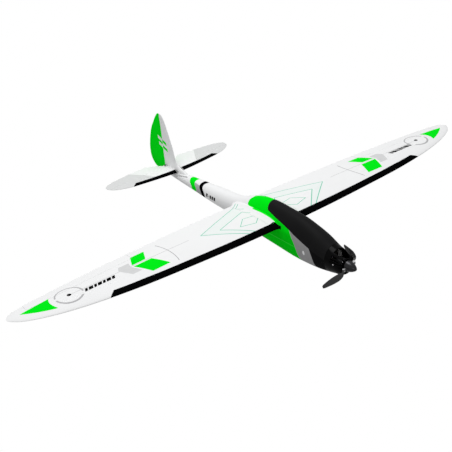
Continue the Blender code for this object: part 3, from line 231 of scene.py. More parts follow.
def stab_ring(x, count, grow=0.0):
    out = abs(x)
    section = airfoil(stab_lead(out) - grow, stab_trail(out) + grow, 0.075, 0.0, count, 0.0012)
    swell = 1 + grow / 0.0040
    return [(x, y, STAB_Z + z * swell) for y, z in section]


# ---- Mesh helpers; all take points drawn from the datum
TOOLS = bpy.data.collections.new("tools")
SCENE.collection.children.link(TOOLS)


def add_object(name, data, collection=SCENE.collection):
    obj = bpy.data.objects.new(name, data)
    collection.objects.link(obj)
    return obj


def tool_from(bm, name):
    bmesh.ops.recalc_face_normals(bm, faces=bm.faces)
    mesh = bpy.data.meshes.new(name)
    bm.to_mesh(mesh)
    bm.free()
    return add_object(name, mesh, TOOLS)


def loft(name, rings):
    bm = bmesh.new()
    rows = [[bm.verts.new(Vector(p) + DATUM) for p in ring] for ring in rings]
    count = len(rows[0])
    for a, b in zip(rows, rows[1:]):
        for i in range(count):
            j = (i + 1) % count
            bm.faces.new((a[i], a[j], b[j], b[i]))
    bm.faces.new(rows[0])
    bm.faces.new(rows[-1])
    return tool_from(bm, name)


def prism(name, outline, axis, lo, hi):
    """The outline, in the other two axes, extruded along this axis."""
    def at(point):
        point = list(point)
        point.insert(axis, lo)
        return Vector(point) + DATUM
    bm = bmesh.new()
    face = bm.faces.new([bm.verts.new(at(p)) for p in outline])
    out = bmesh.ops.extrude_face_region(bm, geom=[face])
    shift = [0, 0, 0]
    shift[axis] = hi - lo
    moved = [g for g in out["geom"] if isinstance(g, bmesh.types.BMVert)]
    bmesh.ops.translate(bm, vec=shift, verts=moved)
    return tool_from(bm, name)


def box(name, lo, hi):
    lo, hi = Vector(lo) + DATUM, Vector(hi) + DATUM
    bm = bmesh.new()
    bmesh.ops.create_cube(bm, size=1.0)
    bmesh.ops.scale(bm, vec=hi - lo, verts=bm.verts)
    bmesh.ops.translate(bm, vec=(lo + hi) / 2, verts=bm.verts)
    return tool_from(bm, name)


def side_box(name, side, lo, hi):
    """A box drawn on the port side, mirrored for starboard."""
    x_lo, x_hi = sorted((side * lo[0], side * hi[0]))
    return box(name, (x_lo, *lo[1:]), (x_hi, *hi[1:]))


def rod(name, start, end, radius, segments=32):
    start, end = Vector(start) + DATUM, Vector(end) + DATUM
    bm = bmesh.new()
    bmesh.ops.create_cone(bm, cap_ends=True, segments=segments, radius1=radius,
                          radius2=radius, depth=(end - start).length)
    turn = Vector((0, 0, 1)).rotation_difference(end - start).to_matrix().to_4x4()
    bmesh.ops.transform(bm, matrix=Matrix.Translation((start + end) / 2) @ turn, verts=bm.verts)
    return tool_from(bm, name)


def span_rod(name, x_from, x_to, y, z, radius, segments=32):
    return rod(name, (x_from, y, z), (x_to, y, z), radius, segments)


def shaft_ring(radius, y, count):
    """A circle about the motor shaft."""
    angles = [2 * pi * (k + 0.5) / count for k in range(count)]
    return [(radius * cos(a), y, SHAFT_Z + radius * sin(a)) for a in angles]


def boolean(obj, others, operation):
    for other in others:
        mod = obj.modifiers.new("b", "BOOLEAN")
        mod.object = other
        mod.operation = operation
        mod.solver = "EXACT"
    return obj


def cut(obj, *others):
    return boolean(obj, others, "DIFFERENCE")


def join(obj, *others):
    return boolean(obj, others, "UNION")


def intersect(obj, *others):
    return boolean(obj, others, "INTERSECT")


def bake(obj, name, collection=TOOLS):
    """The evaluated mesh, with doubles merged, as a new object."""
    bpy.context.view_layer.update()
    graph = bpy.context.evaluated_depsgraph_get()
    mesh = bpy.data.meshes.new_from_object(obj.evaluated_get(graph))
    mesh.name = name
    bm = bmesh.new()
    bm.from_mesh(mesh)
    bmesh.ops.remove_doubles(bm, verts=bm.verts, dist=0.000004)
    bmesh.ops.dissolve_degenerate(bm, edges=bm.edges, dist=0.000004)
    bm.to_mesh(mesh)
    bm.free()
    return add_object(name, mesh, collection)


def dress(obj, material, sharp):
    """Gives the material and smooth shading, with edges over `sharp` degrees kept."""
    obj.data.materials.clear()
    obj.data.materials.append(material)
    obj.data.shade_smooth()
    obj.data.set_sharp_from_angle(angle=radians(sharp))


def finish(obj, part, material, sharp, body="airframe", bevel=0.0):
    """Bakes a shape into a shown piece that rides on its body and replaces its CAD part."""
    piece = bake(obj, "v_" + part, SCENE.collection)
    dress(piece, MATERIALS[material], sharp)
    if bevel:
        mod = piece.modifiers.new("edges", "BEVEL")
        mod.width = bevel
        mod.segments = 2
        mod.limit_method = "ANGLE"
        mod.angle_limit = radians(sharp)
        mod.use_clamp_overlap = True
    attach(piece, body)
    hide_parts(part)


# ---- Shader arithmetic
def operation(kind, reverse=False):
    def apply(self, *other):
        args = (*other, self) if reverse else (self, *other)
        return self.paint.math(kind, *args)
    return apply


class Value:
    """A socket that takes part in arithmetic; each operation adds one Math node."""

    def __init__(self, paint, socket):
        self.paint, self.socket = paint, socket

    __add__ = __radd__ = operation("ADD")
    __mul__ = __rmul__ = operation("MULTIPLY")
    __sub__ = operation("SUBTRACT")
    __rsub__ = operation("SUBTRACT", reverse=True)
    abs = operation("ABSOLUTE")
    min = operation("MINIMUM")
    max = operation("MAXIMUM")


def union(masks):
    return reduce(Value.max, masks)


SHADER_INPUTS = {
    "colour": "Base Color", "roughness": "Roughness", "normal": "Normal", "metallic": "Metallic",
    "specular": "Specular IOR Level", "coat": "Coat Weight", "sheen": "Sheen Weight",
}


class Paint:
    """A material's node tree, with masks laid out in distances from the datum."""

    def __init__(self, name, roughness=0.5):
        self.material = bpy.data.materials.new(name)
        self.material.use_nodes = True
        self.tree = self.material.node_tree
        self.shader = self.tree.nodes["Principled BSDF"]
        self.shader.inputs["Roughness"].default_value = roughness
        self.source = self.tree.nodes.new("ShaderNodeTexCoord")
        self.coord = Value(self, self.source.outputs["Object"])

    def put(self, value, socket):
        if isinstance(value, Value):
            self.tree.links.new(value.socket, socket)
        else:
            socket.default_value = value

    def node(self, kind, inputs, **settings):
        node = self.tree.nodes.new("ShaderNode" + kind)
        for name, value in settings.items():
            setattr(node, name, value)
        for key, value in inputs.items():
            self.put(value, node.inputs[key])
        return node

    def shade(self, **values):
        """Sets the shader's inputs and returns the finished material."""
        for name, value in values.items():
            self.put(value, self.shader.inputs[SHADER_INPUTS[name]])
        return self.material

    def split(self, vector):
        return [Value(self, s) for s in self.node("SeparateXYZ", {0: vector}).outputs]

    @cached_property
    def position(self):
        return self.split(self.coord)

    @cached_property
    def normal(self):
        return self.split(Value(self, self.source.outputs["Normal"]))

    @cached_property
    def span(self):
        """Distance out from the centre plane, alike on both sides."""
        return self.position[0].abs()

    @cached_property
    def y(self):
        return self.position[1] - DATUM.y

    @cached_property
    def z(self):
        return self.position[2] - DATUM.z

    def math(self, kind, *args, clamp=False):
        node = self.node("Math", dict(enumerate(args)), operation=kind, use_clamp=clamp)
        return Value(self, node.outputs[0])

    def hypot(self, u, v):
        return self.math("SQRT", u * u + v * v)

    def pair(self, u, v):
        return Value(self, self.node("CombineXYZ", {0: u, 1: v}).outputs[0])

    def linear(self, uv, a, b, c):
        node = self.node("VectorMath", {0: uv, 1: (a, b, 0.0)}, operation="DOT_PRODUCT")
        return Value(self, node.outputs["Value"]) + c

    def inside(self, distance, soft=0.0003):
        """1 where the distance is positive, 0 elsewhere, over an edge of width `soft`."""
        return self.math("MULTIPLY_ADD", distance, 1.0 / soft, 0.5, clamp=True)

    def poly(self, uv, outline):
        """Mask of a convex polygon."""
        area = sum(a[0] * b[1] - b[0] * a[1] for a, b in zip(outline, outline[1:] + outline[:1]))
        if area < 0:
            outline = outline[::-1]
        distances = []
        for a, b in zip(outline, outline[1:] + outline[:1]):
            dx, dy = b[0] - a[0], b[1] - a[1]
            n = sqrt(dx * dx + dy * dy)
            distances.append(self.linear(uv, -dy / n, dx / n, (dy * a[0] - dx * a[1]) / n))
        return self.inside(reduce(Value.min, distances))

    def polys(self, uv, outlines):
        return union(self.poly(uv, outline) for outline in outlines)

    def line(self, uv, a, b, width):
        dx, dy = b[0] - a[0], b[1] - a[1]
        n = sqrt(dx * dx + dy * dy)
        tx, ty = dx / n, dy / n
        mid_x, mid_y = (a[0] + b[0]) / 2, (a[1] + b[1]) / 2
        along = self.linear(uv, tx, ty, -(tx * mid_x + ty * mid_y)).abs()
        across = self.linear(uv, -ty, tx, ty * mid_x - tx * mid_y).abs()
        return self.inside((n / 2 - along).min(width / 2 - across))

    def curve(self, u, points):
        """Value read from a drawn curve v(u)."""
        first, last = points[0][0], points[-1][0]
        low, high = min(p[1] for p in points), max(p[1] for p in points)
        node = self.node("FloatCurve", {"Value": (u - first) * (1 / (last - first))})
        drawn = node.mapping.curves[0]
        while len(drawn.points) > 2:
            drawn.points.remove(drawn.points[1])
        places = [((a - first) / (last - first), (b - low) / (high - low)) for a, b in points]
        drawn.points[0].location = places[0]
        drawn.points[-1].location = places[-1]
        for place in places[1:-1]:
            drawn.points.new(*place)
        for point in drawn.points:
            point.handle_type = "AUTO_CLAMPED"
        node.mapping.extend = "HORIZONTAL"
        node.mapping.update()
        return Value(self, node.outputs[0]) * (high - low) + low

    def mix(self, base, colour, mask):
        base, colour = (c if isinstance(c, Value) else (*c, 1.0) for c in (base, colour))
        node = self.node("Mix", {}, data_type="RGBA")
        for index, value in ((0, mask), (6, base), (7, colour)):
            self.put(value, node.inputs[index])
        return Value(self, node.outputs[2])

    def noise(self, scale=1.0, detail=2.0, roughness=0.5, stretch=None):
        coord = self.coord
        if stretch:
            scaled = self.node("VectorMath", {0: coord, 1: stretch}, operation="MULTIPLY")
            coord = Value(self, scaled.outputs[0])
        node = self.node("TexNoise", {"Scale": scale, "Detail": detail, "Roughness": roughness,
                                      "Vector": coord})
        return Value(self, node.outputs["Fac"])

    def beads(self, scale):
        """Height of foam beads: low along cell edges and flat inside."""
        node = self.node("TexVoronoi", {"Scale": scale, "Vector": self.coord},
                         feature="DISTANCE_TO_EDGE")
        return self.math("MULTIPLY", Value(self, node.outputs["Distance"]), 3.0, clamp=True)

    def wave(self, scale, axis, distortion=0.0, coord=None):
        inputs = {"Scale": scale, "Distortion": distortion, "Vector": coord or self.coord}
        node = self.node("TexWave", inputs, wave_type="BANDS", bands_direction=axis)
        return Value(self, node.outputs["Fac"])

    def bump(self, height, strength, distance):
        node = self.node("Bump", {"Strength": strength, "Distance": distance, "Height": height})
        return Value(self, node.outputs[0])


# ---- Colours
WHITE, BARE_FOAM = (0.880, 0.885, 0.890), (0.80, 0.80, 0.79)
BLACK, NOSE_BLACK = (0.0011, 0.0011, 0.0013), (0.0078, 0.0078, 0.0083)
GREEN = (0.0, 0.830, 0.0095)
# painted shade: the two darker greens on the next line colour the lower flank and the belly, where
# less light falls
SHADED_FLANK_GREEN, SHADED_BELLY_GREEN = (0.0, 0.640, 0.0065), (0.0, 0.680, 0.007)
# painted highlight: the first colour on the next line is a light line painted along the crease
# where the side turns under
CREASE_HIGHLIGHT_GREEN, EDGE_GREEN = (0.10, 0.860, 0.120), (0.34, 0.86, 0.36)
NOSE_GREY, BOOM_GREY = (0.34, 0.86, 0.36), (0.43, 0.43, 0.44)
NOSE_GREY = (0.330, 0.330, 0.335)
LINE_GREY, RING_GREY = (0.40, 0.40, 0.41), (0.46, 0.46, 0.47)
PALE, TIP_PALE = (0.660, 0.665, 0.670), (0.690, 0.695, 0.700)
MINT, TEAL = (0.690, 0.880, 0.800), (0.130, 0.590, 0.390)

# ---- Wing trim, in (distance out from the centre plane, y)
LEAD_STRIPE_REAR = [
    (0.0, -0.0052), (0.10, -0.0047), (0.15, -0.0041), (0.25, -0.0004), (0.30, 0.0022),
    (0.40, 0.0080), (0.45, 0.0124), (0.50, 0.0168), (0.58, 0.0285)]
MINT_BANDS = [
    [(0.1020, -0.0060), (0.1210, -0.0060), (0.2255, 0.0800), (0.1700, 0.0650)],
    [(0.2255, 0.0800), (0.1700, 0.0650), (0.0600, 0.1080), (0.0610, 0.1520)]]
TEAL_LINES = [  # start, end, width
    ((0.1210, -0.0060), (0.2255, 0.0800), 0.0024), ((0.2255, 0.0800), (0.0600, 0.1515), 0.0022),
    ((0.0600, 0.1515), (0.0300, 0.1740), 0.0020), ((0.1020, -0.0060), (0.1700, 0.0650), 0.0024),
    ((0.1700, 0.0650), (0.0600, 0.1080), 0.0022), ((0.0600, 0.1080), (0.0440, 0.0720), 0.0018),
    ((0.0450, 0.0500), (0.0750, 0.0235), 0.0019), ((0.0750, 0.0235), (0.1200, 0.0375), 0.0019),
    ((0.1200, 0.0375), (0.0875, 0.0690), 0.0019), ((0.0875, 0.0690), (0.0450, 0.0590), 0.0019),
    ((0.0440, 0.1180), (0.0560, 0.1430), 0.0018), ((0.0560, 0.1430), (0.0300, 0.1620), 0.0018)]
PALE_BLOCKS = [
    [(0.4365, 0.0472), (0.4660, 0.0462), (0.4800, 0.0740), (0.4832, 0.0831), (0.4508, 0.0831)],
    [(0.4508, 0.0829), (0.4832, 0.0829), (0.4848, 0.0885), (0.4758, 0.1052), (0.4435, 0.1052)]]
GREEN_BLOCKS = [
    [(0.3625, 0.0250), (0.4190, 0.0235), (0.4440, 0.0785), (0.3870, 0.0800)],
    [(0.4005, 0.0890), (0.4440, 0.0872), (0.4230, 0.1310), (0.3795, 0.1325)]]
BAR_Y = 0.0726
BAR_ENDS = [(0.5020, 0.5110), (0.5140, 0.5270), (0.5300, 0.5380), (0.5410, 0.5530),
            (0.5560, 0.5640), (0.5670, 0.5800), (0.5830, 0.5910)]
TIP_FLASH = [(0.6790, 0.1100), (0.7660, 0.0990), (0.7520, 0.0880), (0.7300, 0.0740),
             (0.7050, 0.0615), (0.6830, 0.0530)]
ARC_CENTRE, ARC_R = (0.6000, 0.0790), 0.2672
RING_CENTRE, RING_R, DOT_R = (0.6340, 0.0845), 0.0366, 0.0060


def wing_trim(mat):
    """Both panels alike. Only the leading-edge stripe wraps underneath."""
    top = mat.inside(mat.normal[2] - 0.02, soft=0.05)
    out, y = mat.span, mat.y
    uv = mat.pair(out, y)
    col = mat.mix(WHITE, MINT, mat.polys(uv, MINT_BANDS) * 0.22 * top)
    col = mat.mix(col, TEAL, union(mat.line(uv, *line) for line in TEAL_LINES) * top)
    # a fine line along the span, and an arc
    thin = mat.line(uv, (0.2620, 0.0848), (0.6280, 0.0838), 0.0012)
    distance = mat.hypot(out - ARC_CENTRE[0], y - ARC_CENTRE[1])
    arc = (mat.inside(0.0011 - (distance - ARC_R).abs())
           * mat.inside(0.0590 - (y - 0.0775).abs()) * mat.inside(0.40 - out))
    col = mat.mix(col, LINE_GREY, thin.max(arc) * top)
    col = mat.mix(col, PALE, mat.polys(uv, PALE_BLOCKS) * top)
    col = mat.mix(col, GREEN, mat.polys(uv, GREEN_BLOCKS) * top)
    # a row of slanted bars
    bars = [[(u0, BAR_Y + 0.0074), (u0 + 0.0060, BAR_Y - 0.0070),
             (u1 + 0.0060, BAR_Y - 0.0074), (u1, BAR_Y + 0.0070)] for u0, u1 in BAR_ENDS]
    col = mat.mix(col, BLACK, mat.polys(uv, bars) * top)
    # broken ring around a dot
    ring_x, ring_y = out - RING_CENTRE[0], y - RING_CENTRE[1]
    radius = mat.hypot(ring_x, ring_y)
    ring = mat.inside(ring_y * -0.020 + 0.0024 - (radius - RING_R).abs())
    inner_gap = (mat.inside(0.0075 - (ring_y + 0.0120 - ring_x * 0.15).abs())
                 * mat.inside(-1.0 * ring_x - 0.0200))
    outer_gap = mat.inside(0.0050 - (ring_y - 0.0040).abs()) * mat.inside(ring_x - 0.0250)
    ring = ring * (1.0 - inner_gap.max(outer_gap))
    col = mat.mix(col, RING_GREY, ring * top)
    col = mat.mix(col, BLACK, mat.inside(DOT_R - radius) * top)
    # green tip flash, hollowed on its root side
    tip_x, tip_y = out - 0.6430, y - 0.0805
    hollow = mat.inside(mat.math("SQRT", tip_x * tip_x + tip_y * tip_y * 0.8) - 0.0450)
    col = mat.mix(col, GREEN, mat.poly(uv, TIP_FLASH) * hollow * top)
    rear = mat.curve(out, LEAD_STRIPE_REAR)
    stripe = mat.inside(rear - y) * mat.inside(0.5600 - out - (y - 0.0060) * 1.25)
    return mat.mix(col, BLACK, stripe)


# ---- Foam materials
def foam(mat, colour):
    """Faint bead outlines under a sprayed skin, with a little unevenness in gloss."""
    beads = mat.beads(310.0)
    fine = mat.noise(2400.0, detail=3.0, roughness=0.6)
    broad = mat.noise(26.0)
    channels = mat.node("SeparateColor", {0: colour}).outputs
    red, green, blue = (Value(mat, socket) for socket in channels)
    # dark and saturated paint reflects less
    specular = mat.math("MULTIPLY", red.min(green).min(blue), 2.0, clamp=True) * 0.12 + 0.003
    cloud = mat.noise(9.0, detail=3.0, roughness=0.55)
    return mat.shade(
        colour=mat.mix(colour, (0.0, 0.0, 0.0), (cloud - 0.35) * 0.045),
        roughness=broad * 0.10 + 0.41 + fine * 0.05,
        specular=specular,
        normal=mat.bump(beads * 0.55 + fine * 0.30 + broad * 0.5, strength=0.16,
                        distance=0.00035))


def wing_material():
    mat = Paint("foam_wing_printed")
    return foam(mat, wing_trim(mat))


def tail_material():
    """Pale tips and a black leading-edge stripe."""
    mat = Paint("foam_tail_printed")
    out, y = mat.span, mat.y
    tips = mat.poly(mat.pair(out, y), [(0.1320, 0.6160), (0.0800, 0.5253), (0.0850, 0.48),
                                       (0.26, 0.48), (0.26, 0.64)])
    col = mat.mix(WHITE, TIP_PALE, tips)
    rear = mat.curve(out, [(0.0, 0.5205), (0.03, 0.5220), (0.06, 0.5236), (0.09, 0.5259),
                           (0.12, 0.5293), (0.156, 0.5356)])
    stripe = mat.inside(rear - y) * mat.inside(0.1536 - out - (y - 0.530) * 1.3)
    return foam(mat, mat.mix(col, BLACK, stripe))


def fin_marks(mat):
    """Two slanted bars, one above the other."""
    bars = []
    for k in range(2):
        y, z = 0.5540 + 0.0040 * k, 0.0400 + 0.0210 * k
        bars.append([(y, z), (y + 0.0480, z + 0.0160), (y + 0.0480, z + 0.0270),
                     (y + 0.0040, z + 0.0110)])
    return mat.polys(mat.pair(mat.y, mat.z), bars)


def rudder_material():
    mat = Paint("foam_rudder_green")
    return foam(mat, mat.mix(GREEN, WHITE, fin_marks(mat)))


def paint_middle(mat):
    """White, with a green saddle and flanks and the wing's trim on the root fairings; the lower
    green carries painted shade and a painted highlight along its crease.
    """
    out, y, z = mat.span, mat.y, mat.z
    low_edge = mat.curve(y, [(-0.030, 0.0128), (-0.0135, 0.0130), (0.0142, 0.0137),
                             (0.0503, 0.0126), (0.0791, 0.0110), (0.1104, 0.0082),
                             (0.1300, 0.0060)])
    aft_edge = mat.curve(out, [(0.0, 0.1179), (0.0045, 0.1185), (0.0134, 0.1258),
                               (0.0203, 0.1268), (0.0251, 0.1203), (0.0279, 0.1104),
                               (0.0300, 0.0900)])
    saddle = mat.inside(z - low_edge) * mat.inside(aft_edge - y) * mat.inside(0.0352 - out)
    below = mat.inside(-0.0010 - z) * mat.inside(0.1180 - (z + 0.02) * 0.55 - y)
    ahead = mat.inside(-0.0085 - y)
    fairing = mat.inside(out - 0.0420)
    green = saddle.max(below * (1.0 - fairing)).max(ahead)
    root = (mat.inside(out - 0.0340) * mat.inside(0.0125 - z) * mat.inside(z + 0.0005)
            * mat.inside(y + 0.0085))
    col = mat.mix(WHITE, wing_trim(mat), root)
    # painted shade: the green darkens below the wing's level over a soft band, and stays darker on
    # the belly, where less light falls
    flank = mat.mix(GREEN, SHADED_FLANK_GREEN, mat.inside(-0.0010 - z, soft=0.014))
    flank = mat.mix(flank, SHADED_BELLY_GREEN, mat.inside(-0.0330 - (y + 0.04) * 0.02 - z))
    # painted highlight: a thin lighter line along the crease where the side turns under to the
    # belly
    crease_highlight = (mat.inside(0.0005 - (z + 0.0330 + (y + 0.04) * 0.02).abs())
              * mat.inside(0.0400 - y))
    flank = mat.mix(flank, CREASE_HIGHLIGHT_GREEN, crease_highlight * 0.75)
    col = mat.mix(col, flank, green)
    # the leading-edge stripe runs over the fairing's nose to the flank
    reach = mat.inside(out - 0.0338 - (z - 0.0040) * 0.25)
    stripe = (mat.inside(-0.0070 - (0.0570 - out).max(0.0) * 0.12 - y)
              * mat.inside(y + 0.0345) * reach * mat.inside(z + 0.0016) * mat.inside(0.0150 - z))
    return mat.mix(col, BLACK, stripe)


def paint_nose(mat, col):
    """Grey chevron with a fine light edge and a white spot, then a black nose."""
    y, z = mat.y, mat.z
    black_edge = mat.curve(z, [(-0.100, -0.1700), (-0.075, -0.1655), (-0.0497, -0.1626),
                               (-0.0338, -0.1578), (-0.0155, -0.1486), (0.010, -0.1360)])
    grey_edge = mat.curve(z, [(-0.100, -0.1100), (-0.075, -0.1045), (-0.0477, -0.0991),
                              (-0.0237, -0.0904), (-0.0092, -0.0804), (0.0064, -0.0699),
                              (0.020, -0.0600)])
    col = mat.mix(col, EDGE_GREEN, mat.inside(grey_edge + 0.0011 - y))
    col = mat.mix(col, NOSE_GREY, mat.inside(grey_edge - y))
    # the spot is an ellipse, 4.2 by 6.6 mm in half widths
    spot = mat.hypot((y + 0.1274) * (1 / 0.0042), (z + 0.0370) * (1 / 0.0066))
    col = mat.mix(col, WHITE, mat.math("MULTIPLY_ADD", spot, -8.0, 8.5, clamp=True))
    return mat.mix(col, NOSE_BLACK, mat.inside(black_edge - y))


def paint_boom(mat, col):
    """Black, grey and green bands, and a row of short black bars ahead of them."""
    y, z = mat.y, mat.z
    green_aft = mat.curve(z, [
        (-0.0550, 0.4230), (-0.0394, 0.4204), (-0.0344, 0.4175), (-0.0289, 0.4174),
        (-0.0234, 0.4225), (-0.0183, 0.4294), (-0.0140, 0.4341), (-0.0106, 0.4372),
        (-0.0080, 0.4400)])
    green_front = mat.curve(z, [
        (-0.0550, 0.4010), (-0.0394, 0.3975), (-0.0344, 0.3910), (-0.0289, 0.3903),
        (-0.0234, 0.3935), (-0.0183, 0.4006), (-0.0140, 0.4045), (-0.0106, 0.4067),
        (-0.0078, 0.4055)])
    black_aft = mat.curve(z, [
        (-0.0550, 0.3660), (-0.0408, 0.3639), (-0.0349, 0.3613), (-0.0286, 0.3631),
        (-0.0223, 0.3684), (-0.0165, 0.3738), (-0.0114, 0.3764), (-0.0076, 0.3768),
        (-0.0050, 0.3740)])
    black_front = mat.curve(z, [
        (-0.0550, 0.3450), (-0.0408, 0.3448), (-0.0349, 0.3415), (-0.0286, 0.3426),
        (-0.0223, 0.3467), (-0.0165, 0.3545), (-0.0114, 0.3589), (-0.0076, 0.3598),
        (-0.0043, 0.3568)])
    grey = mat.inside(y - black_aft) * mat.inside(green_front - y) * mat.inside(-0.0130 - z)
    col = mat.mix(col, BOOM_GREY, grey)
    col = mat.mix(col, GREEN, mat.inside(y - green_front) * mat.inside(green_aft - y))
    col = mat.mix(col, BLACK, mat.inside(y - black_front) * mat.inside(black_aft - y))
    bars = []
    for y0, y1 in ((0.3245, 0.3320), (0.3160, 0.3190), (0.3060, 0.3130), (0.2955, 0.3030),
                   (0.2850, 0.2925)):
        # the narrow bar is also shorter
        low, high = (-0.0320, -0.0205) if y1 - y0 > 0.004 else (-0.0275, -0.0240)
        bars.append([(y0, low), (y1, low), (y1 - 0.0012, high), (y0 - 0.0012, high)])
    return mat.mix(col, BLACK, mat.polys(mat.pair(y, z), bars))


def paint_fin(mat, col):
    """The rudder's green and bars, carried forward across the hinge."""
    y, z = mat.y, mat.z
    fin = (mat.inside(y - 0.5000) * mat.inside(z + 0.0060 - (y - 0.5600) * 0.2)).max(
        mat.inside(y - 0.5770) * mat.inside(z + 0.0170))
    split = mat.curve(z, [(-0.0400, 0.5800), (-0.0200, 0.5795), (0.0000, 0.5790),
                          (0.0200, 0.5800), (0.0600, 0.5808), (0.1000, 0.5822),
                          (0.1300, 0.5845), (0.1500, 0.5872), (0.1630, 0.5890)])
    marks = fin_marks(mat)
    behind = mat.inside(y - split)
    col = mat.mix(col, GREEN, marks * fin)
    col = mat.mix(col, GREEN, behind * fin)
    return mat.mix(col, WHITE, behind * marks * fin)


def fuselage_material():
    mat = Paint("foam_fuselage_print_and_painted_shade")
    col = paint_fin(mat, paint_boom(mat, paint_nose(mat, paint_middle(mat))))
    # bare foam on the inner walls and floor
    walls = mat.inside(-0.0020 - mat.normal[0] * mat.position[0], soft=0.001)
    bottom = mat.inside(mat.normal[2] - 0.45, soft=0.02) * mat.inside(-0.0400 - mat.z)
    bare = (walls.max(bottom) * mat.inside(0.0330 - mat.span) * mat.inside(0.1900 - mat.y)
            * mat.inside(mat.y + 0.2040))
    return foam(mat, mat.mix(col, BARE_FOAM, bare))


def canopy_material():
    mat = Paint("canopy_matt_black")
    fine = mat.noise(1500.0, detail=3.0, roughness=0.65)
    broad = mat.noise(18.0, detail=3.0)
    return mat.shade(
        colour=mat.mix((0.0050, 0.0050, 0.0053), (0.0110, 0.0110, 0.0114),
                       fine * 0.6 + broad * 0.4),
        roughness=broad * 0.12 + 0.50,
        specular=0.055,
        normal=mat.bump(fine * 0.6 + mat.beads(300.0) * 0.35, strength=0.14, distance=0.00028))


# ---- Other materials
def plastic(name, colour, roughness, grain=900.0, relief=0.06, specular=0.5, coat=0.0):
    """grain is the scale of the fine texture, relief its bump strength."""
    mat = Paint(name, roughness)
    fine = mat.noise(grain, detail=3.0, roughness=0.6)
    broad = mat.noise(40.0)
    light = tuple(min(1.0, c * 1.25 + 0.004) for c in colour)
    return mat.shade(
        colour=mat.mix(colour, light, mat.noise(130.0, detail=4.0, roughness=0.6) * 0.55),
        roughness=broad * 0.12 + (roughness - 0.06) + fine * 0.05,
        specular=specular, coat=coat,
        normal=mat.bump(fine, strength=relief, distance=0.0002))


def metal(name, colour, roughness, stretch):
    mat = Paint(name, roughness)
    lines = mat.noise(detail=3.0, roughness=0.6, stretch=stretch)
    return mat.shade(
        colour=mat.mix(colour, tuple(c * 0.78 for c in colour), lines * 0.6),
        roughness=lines * 0.22 + (roughness - 0.08) + mat.noise(60.0) * 0.06,
        metallic=1.0,
        normal=mat.bump(lines, strength=0.10, distance=0.00008))


def ply(name, stain=1.0):
    """Birch ply, with plies banding the cut edges; stain scales every colour."""
    mat = Paint(name)

    def stained(*colour):
        return tuple(c * stain for c in colour)
    grain = mat.noise(detail=5.0, roughness=0.62, stretch=(420.0, 34.0, 420.0))
    plies = mat.wave(330.0, "Z", distortion=0.4)
    col = mat.mix(stained(0.60, 0.42, 0.24), stained(0.40, 0.25, 0.12), grain * 0.75)
    edge = mat.inside(0.72 - mat.normal[2].abs(), soft=0.2)
    return mat.shade(
        colour=mat.mix(col, stained(0.10, 0.055, 0.03), edge * (plies * 0.55 + 0.35)),
        roughness=grain * 0.15 + 0.55,
        normal=mat.bump(grain, strength=0.20, distance=0.0002))


def wrap_material():
    """Blue shrink wrap with two pale bands around it."""
    mat = Paint("battery_shrink_wrap")
    creases = mat.noise(detail=4.0, roughness=0.55, stretch=(60.0, 22.0, 160.0))
    col = mat.mix((0.018, 0.060, 0.270), (0.010, 0.035, 0.190), creases)
    bands = mat.inside(0.0016 - ((mat.y + 0.098).abs() - 0.0290).abs())
    return mat.shade(
        colour=mat.mix(col, (0.62, 0.62, 0.60), bands),
        roughness=creases * 0.15 + 0.22,
        normal=mat.bump(creases, strength=0.35, distance=0.0006))


def strap_material():
    mat = Paint("hook_and_loop_strap")
    warp, weft = mat.wave(520.0, "X"), mat.wave(620.0, "Y")
    fuzz = mat.noise(2600.0, detail=4.0, roughness=0.7)
    return mat.shade(
        colour=mat.mix((0.010, 0.010, 0.011), (0.035, 0.035, 0.037),
                       (warp * weft) * 0.7 + fuzz * 0.3),
        roughness=0.92, sheen=0.35,
        normal=mat.bump(warp * weft * 0.6 + fuzz, strength=0.5, distance=0.0004))


def carbon_material():
    """Crossed windings, turned off the axes."""
    mat = Paint("wound_carbon")
    node = mat.node("VectorRotate", {"Angle": radians(38), "Vector": mat.coord},
                    rotation_type="Z_AXIS")
    coord = Value(mat, node.outputs[0])
    wind = mat.wave(180.0, "X", distortion=0.2, coord=coord)
    cross = mat.wave(180.0, "Y", distortion=0.2, coord=coord)
    return mat.shade(
        colour=mat.mix((0.006, 0.006, 0.007), (0.045, 0.045, 0.050), wind * cross),
        roughness=wind * 0.10 + 0.24, coat=0.5,
        normal=mat.bump(wind * cross, strength=0.15, distance=0.0001))


def cowl_material():
    mat = Paint("cowl_gloss_black")
    broad = mat.noise(35.0, detail=3.0, roughness=0.55)
    return mat.shade(
        colour=mat.mix((0.0014, 0.0014, 0.0015), (0.0030, 0.0030, 0.0032), broad),
        roughness=broad * 0.10 + 0.16, specular=0.050,
        normal=mat.bump(mat.noise(700.0), strength=0.035, distance=0.0002))


def blade_material():
    mat = Paint("blade_glass_filled_nylon")
    fibre = mat.noise(detail=4.0, roughness=0.6, stretch=(160.0, 900.0, 900.0))
    fine = mat.noise(1800.0, detail=3.0, roughness=0.6)
    return mat.shade(
        colour=mat.mix((0.015, 0.015, 0.016), (0.038, 0.038, 0.040), fibre * 0.7 + fine * 0.3),
        roughness=fibre * 0.12 + 0.34,
        normal=mat.bump(fibre * 0.5 + fine * 0.5, strength=0.12, distance=0.00015))


def spinner_material():
    mat = Paint("spinner_anodised_turned")
    rings = mat.wave(900.0, "Y", distortion=0.15)
    fine = mat.noise(1500.0)
    return mat.shade(
        colour=mat.mix((0.026, 0.026, 0.028), (0.042, 0.042, 0.045), rings),
        roughness=fine * 0.08 + 0.22, metallic=0.85,
        normal=mat.bump(rings * 0.7 + fine * 0.3, strength=0.05, distance=0.00006))


def can_material():
    mat = Paint("motor_can_magnets")
    lines = mat.noise(stretch=(500.0, 40.0, 500.0))
    return mat.shade(
        colour=mat.mix((0.012, 0.012, 0.013), (0.035, 0.035, 0.037), lines),
        roughness=lines * 0.18 + 0.30, metallic=0.7,
        normal=mat.bump(lines, strength=0.08, distance=0.0001))


